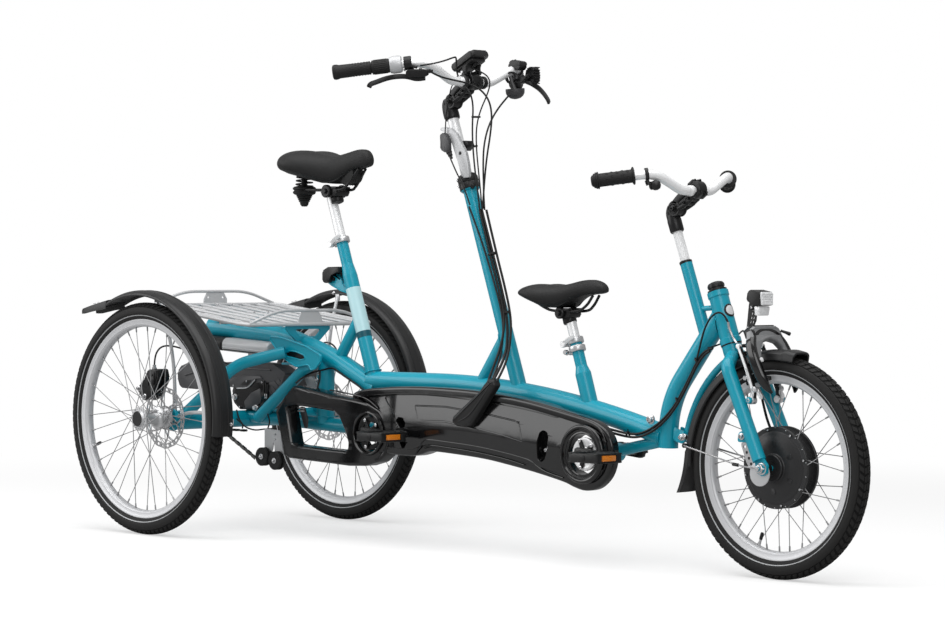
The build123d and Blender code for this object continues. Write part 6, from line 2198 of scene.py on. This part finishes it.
def battery():
    """The battery in its slide: a long rounded silver case with a black end and its handle."""
    piece = Piece("battery_built", "frame", "silver_case")
    section = rounded([(-56, 459), (56, 459), (56, 482), (46, 494), (-46, 494), (-56, 482)],
                      [10, 10, 12, 12, 12, 12], 4)

    def spot(x, y, z):
        return at(x, y, z + (142 - x) * 15 / 292)

    for start, stop, material in ((-46, 138, SILVER), (-150, -48, PLASTIC)):
        ends = ((start, 4), (start + 1.2, 1.4), (start + 4, 0), (stop - 6, 0), (stop - 2, 1.8), (stop, 5))
        piece.rings([[spot(x, y, z) for y, z in inset(section, shrink)] for x, shrink in ends], material)
    for side in (-1, 1):
        piece.tube([spot(-40, side * 56, 470), spot(132, side * 56, 470)], 1.2, SILVER, 8)
        piece.tube([spot(-40, side * 54, 464), spot(132, side * 54, 464)], 2.2, METAL, 8)
    piece.block(spot(50, 0, 454), (36, 60, 10), SILVER, 2)
    piece.block(spot(-143, 0, 468), (12, 70, 12), PLASTIC, 4)
    piece.disc(spot(-104, -54.6, 478), -Y, 7, 2.4, METAL, 0.6, 24)
    piece.done("battery")


def axle_details():
    """Welded plates, cable ties and bolts along the axle housing and the chain stay."""
    piece = Piece("axle_details", "frame", "teal_paint")
    for side in (-1, 1):
        weld_ring(piece, at(0, side * 254, 289), Y, 22.4)
    for y in (-120, 120):
        piece.lathe(at(0, y, 289), Y, [(21.8, -3), (23.4, -2.6), (23.4, 2.6), (21.8, 3)], GRIP, 32, True)
    piece.lathe(at(150, 0, 292), Vector((1, 0, -0.036)), [(17.4, -3), (18.8, -2.4), (18.8, 2.4), (17.4, 3)],
                GRIP, 32, True)
    for places in (((-6, -76, 322), (14, -60, 296), (44, -60, 278), (68, -60, 268), (101, -60, 264),
                    (138, -60, 268), (179, -56, 271)), ((22, -60, 314), (33, -60, 291), (47, -60, 276),
            (44, -58, 266)), ((114, -30, 306), (121, -30, 286), (112, -28, 266))):
        piece.tube(smooth_path([at(*place) for place in places], 5), 2.0, SHEATH, 8)
    for x, wide in ((20, 26), (54, 18)):
        piece.block(at(x, -62, 261), (wide, 14, 6), METAL, 2)
    piece.prism(rounded([(196, 352), (226, 352), (222, 312), (204, 312)], 4, 3), -40, -34, TEAL, 1.2)
    for x, z in ((300, 400), (306, 420)):
        piece.bolt(at(x, -22, z), -Y, 4)
    weld_ring(piece, at(310, 0, 305), Z, 22.8)
    piece.done()


CRANKS = (("rear", REAR_CRANK, REAR_ARM, 40), ("front", FRONT_CRANK, FRONT_ARM, 38))
for end, middle, length, guard in CRANKS:
    crank(f"{end}_crank_built", f"{end}_cranks", f"{end}_crank", middle, length, guard)
for end, middle, length, _ in CRANKS:
    for side, hand in ((-1, "right"), (1, "left")):
        name = f"{end}_{hand}_pedal"
        pedal(name, name, middle, length, side)
tensioner()
gear_unit()
battery()
axle_details()

# Cables along their routes, with their ties.


def bending_cord(name, places, diameter, start, stop, stands_for=()):
    """A cable: a curve made into a smooth-shaded mesh that stays where it is placed and rides no body."""
    curve = cord_curve(f"{name}_route", None, places, diameter)
    bpy.context.view_layer.update()
    mesh = bpy.data.meshes.new_from_object(curve.evaluated_get(bpy.context.evaluated_depsgraph_get()))
    mesh.name = name
    for polygon in mesh.polygons:
        polygon.use_smooth = True
    bpy.data.objects.remove(curve)
    made = add_object(name, mesh)
    at(*start)
    at(*stop)
    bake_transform(made)
    if stands_for:
        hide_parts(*stands_for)
    return made


def tie(name, body, place, way, radius):
    """A cable tie round a bundle, with its buckle."""
    piece = Piece(name, body, "black_plastic")
    piece.lathe(place - way * 2 * MM, way, [(radius - 1, 0), (radius + 0.4, 0), (radius + 0.4, 4),
        (radius - 1, 4)], PLASTIC, 20, True)
    out = way.cross(Y).normalized()
    piece.block(place + out * (radius + 1.2) * MM, (3.4, 4, 4.6), PLASTIC, 0.8, along=out)
    piece.done()


MAST_END = [(893, -10, 836), (937, -13, 724), (973, -14, 628), (992, -17, 560), (1004, -30, 508),
            (1013, -48, 478), (1021, -74, 449), (1025, -99, 422)]
MAST_NEAR = [(893, -16, 834), (935, -20, 721), (966, -22, 640), (987, -24, 583), (998, -36, 538),
             (1002, -52, 498), (1004, -78, 452), (1006, -98, 418)]
MAST_FAR = [(902, -2, 834), (942, -6, 726), (976, -8, 638), (998, -12, 574), (1012, -26, 530),
            (1024, -46, 486), (1032, -70, 450), (1034, -96, 420)]
cord_curve("mast_cable_a", "frame", MAST_END, 7.0, stands_for=("mast_cables",))
cord_curve("mast_cable_b", "frame", MAST_NEAR, 6.0)
cord_curve("mast_cable_c", "frame", MAST_FAR, 6.0)
cord_curve("mast_cable_d", "frame", [(870, -30, 842), (905, -28, 775), (950, -26, 668), (985, -27, 580),
    (1000, -40, 520), (1012, -66, 462), (1018, -96, 420)], 5.0)
for number, place in enumerate(((935, -15, 726), (986, -17, 584))):
    tie(f"mast_tie_{number}", "frame", at(*place), (-MAST_UP), 9.5)

FRONT_ROUTE = [(1310, -30, 322), (1350, -31, 316), (1396, -32, 309), (1435, -32, 308), (1474, -30, 322),
               (1510, -29, 345), (1542, -28, 376), (1566, -28, 408), (1590, -28, 446), (1611, -27, 482),
               (1634, -26, 508), (1655, -24, 512)]
cord_curve("front_cable_a", "frame", FRONT_ROUTE, 6.0, stands_for=("front_cables",))
cord_curve("front_cable_b", "frame", [(x + 3, y - 3, z - 7) for x, y, z in FRONT_ROUTE[:-1]]
           + [(1652, -30, 506)], 6.0)
for number, (place, way) in enumerate((((1556, -30, 392), (0.55, 0, 0.83)),
        ((1613, -29, 484), (0.55, 0, 0.83)), ((1404, -33, 308), (1, 0, 0.05)))):
    tie(f"front_tie_{number}", "frame", at(*place), Vector(way).normalized(), 6.0)
bending_cord("front_brake_cable", [(1611, -30, 482), (1619, -31, 503), (1630, -34, 532), (1643, -37, 560),
    (1660, -37, 584), (1680, -34, 596), (1696, -30, 588), (1702, -27, 573)], 4.6,
             (1630, -34, 532), (1680, -34, 560))
bending_cord("lamp_cable", [(1640, -25, 512), (1652, -8, 518), (1660, 20, 528), (1678, 33, 540),
    (1704, 20, 552), (1719, 8, 553), (1727, 4, 545), (1732, 2, 536)], 4.0,
             (1656, 8, 524), (1706, 20, 550))
cord_curve("motor_cable", "fork", [(1722, 44, 460), (1728, 56, 423), (1734, 60, 385), (1746, 64, 340),
    (1772, 68, 296), (1806, 68, 262), (1826, 62, 250), (1832, 52, 250)], 6.0)

bending_cord("left_brake_cable", [(877, 166, 1173), (872, 152, 1158), (862, 116, 1122), (866, 66, 1080),
    (874, 30, 1038), (882, 8, 992), (890, -2, 945), (896, -6, 900), (900, -9, 862), (904, -10, 834)], 4.6,
             (893, 0, 915), (904, -8, 846))
bending_cord("right_brake_cable", [(874, -167, 1166), (872, -140, 1156), (872, -90, 1149), (880, -46, 1143),
    (900, -20, 1128), (920, -10, 1100), (928, -9, 1062), (922, -9, 1016), (912, -10, 968), (906, -11, 920),
    (902, -12, 872), (900, -13, 836)], 4.6, (907, -10, 925), (900, -12, 846),
             ("bar_cables",))
bending_cord("shift_cable", [(858, -184, 1180), (872, -160, 1184), (878, -120, 1194), (866, -76, 1206),
    (846, -52, 1206), (832, -38, 1190), (828, -32, 1168), (842, -30, 1146), (868, -26, 1124),
    (876, -22, 1090), (870, -20, 1040), (872, -20, 990), (880, -20, 930), (888, -18, 880), (894, -17, 834)],
             4.2, (880, -20, 930), (892, -17, 846))
bending_cord("display_cable", [(853, -6, 1182), (872, 20, 1172), (884, 30, 1150), (876, 26, 1118),
    (868, 10, 1080), (866, -2, 1040), (872, -8, 990), (882, -10, 930), (892, -12, 880), (898, -13, 834)],
             3.6, (882, -10, 930), (896, -12, 846))
bending_cord("sensor_cable", [(801, -30, 966), (813, -31, 948), (828, -31, 924), (846, -31, 900),
    (860, -30, 874), (872, -29, 846)], 3.6, (820, -31, 940), (866, -30, 860))
cord_curve("lever_cable", "rear_handlebar", [(826, -26, 1164), (806, -27, 1146), (795, -28, 1110),
    (786, -28, 1074), (784, -28, 1040), (784, -30, 1018)], 3.0)
for number, (place, way) in enumerate((((871, -8, 1062), (0, 0, 1)), ((871, -13, 990), (0.1, 0, -1)))):
    tie(f"bar_tie_{number}", "rear_handlebar", at(*place), Vector(way).normalized(), 11 - 4 * number)

cord_curve("spine_cable", "frame", [(262, -62, 392), (274, -44, 410), (300, -30, 422), (330, -27, 427),
    (361, -27, 434), (380, -27, 429), (414, -27, 413), (449, -27, 398), (484, -28, 382),
    (512, -40, 368)], 4.6)
cord_curve("strap_cable", "frame", [(318, -28, 424), (322, -30, 404), (316, -34, 384),
    (322, -40, 366)], 5.0)

HOSE = [(-42, 285, 434), (-42, 284, 458), (-28, 281, 480), (-4, 277, 488), (34, 267, 484), (72, 250, 470),
        (100, 224, 460), (116, 196, 450), (124, 172, 440)]
cord_curve("brake_hose_right", "frame", [(x, -y, z) for x, y, z in HOSE], 4.6, stands_for=("brake_hoses",))
cord_curve("brake_hose_left", "frame", HOSE, 4.6)

# The studio: a pale floor, soft lamps and the camera.

GREY_LIGHT = 0.42  # the world's strength for light; 1 is white
FLOOR_RADIUS = 9.0
FADE_MIDDLE, FADE_HALF = 2.6, 1.3  # metres from the object to where the floor turns white
FLOOR_GREY, FLOOR_WHITE = (0.45, 0.45, 0.45, 1), (0.95, 0.95, 0.95, 1)
CAMERA_PLACE, CAMERA_AIM = (6109.4, -5141.3, 699.0), (-0.7148, 0.6991, -0.0167)
CAMERA_ROLL = radians(0.18)
FOCAL_LENGTH, SENSOR_WIDTH = 113.88, 36
LAMP_TARGET = (0, 0, 0.5)

def studio_world():
    """White behind the object and seen through it; a plain grey for its light and its reflections."""
    world = bpy.data.worlds.new("studio")
    world.use_nodes = True
    graph = Graph(world.node_tree)
    path = graph.node("LightPath", {}, {})
    seen = path.math("MAXIMUM", path.out("Is Camera Ray"), path.out("Is Transmission Ray"))
    level = graph.node("MapRange", {}, {"Value": seen, "To Min": GREY_LIGHT, "To Max": 1.0})
    background = graph.tree.nodes["Background"].inputs
    graph.connect(background["Strength"], level)
    graph.connect(background["Color"], (1, 1, 1, 1))
    bpy.context.scene.world = world


def studio_floor():
    """A wide floor that keeps the shadow and fades into white away from the object."""
    bm = bmesh.new()
    bmesh.ops.create_circle(bm, cap_ends=True, radius=FLOOR_RADIUS, segments=96)
    mesh = bpy.data.meshes.new("studio_floor")
    bm.to_mesh(mesh)
    bm.free()
    floor = add_object("studio_floor", mesh)
    made = Finish("floor_white", FLOOR_WHITE[:3], 0.9, Specular_IOR_Level=0.0)
    path = made.node("LightPath", {}, {}).out("Is Camera Ray")
    made.set("Base Color", made.mix(path, FLOOR_GREY, FLOOR_WHITE))
    far = made.node("VectorMath", {"operation": "LENGTH"},
                    {0: made.place}).out("Value").over(FADE_MIDDLE, FADE_HALF)
    glow = made.node("Emission", {}, {"Strength": 1.0})
    lift = made.node("MixShader", {}, {0: path * (far * 0.5 + 0.5), 1: Value(made, made.shader), 2: glow})
    made.tree.links.new(lift.socket, made.tree.nodes["Material Output"].inputs["Surface"])
    mesh.materials.append(made.material)


def softbox(name, place, width, height, power):
    """A rectangular soft lamp that faces the object."""
    lamp = bpy.data.lights.new(name, "AREA")
    lamp.shape = "RECTANGLE"
    lamp.size, lamp.size_y, lamp.energy = width, height, power
    holder = add_object(name, lamp)
    holder.location = place
    holder.rotation_euler = (Vector(LAMP_TARGET) - Vector(place)).to_track_quat("-Z", "Y").to_euler()


def studio_camera():
    """A long lens at the height of the saddles, ahead of the right side."""
    data = bpy.data.cameras.new("camera")
    data.lens, data.sensor_width, data.clip_end = FOCAL_LENGTH, SENSOR_WIDTH, 60
    camera = add_object("camera", data)
    aim = Vector(CAMERA_AIM).to_track_quat("-Z", "Y").to_matrix().to_4x4()
    camera.matrix_world = Matrix.Translation(at(*CAMERA_PLACE)) @ aim @ Matrix.Rotation(CAMERA_ROLL, 4, "Z")
    bpy.context.scene.camera = camera


studio_world()
studio_floor()
softbox("overhead", (0.3, -0.6, 3.6), 4.5, 3.0, 120)
softbox("front_right", (3.6, -2.6, 2.4), 2.0, 2.2, 45)
softbox("rear_right", (-2.9, -2.9, 2.0), 3.4, 2.6, 75)
studio_camera()
bpy.context.scene.view_settings.view_transform = "Standard"
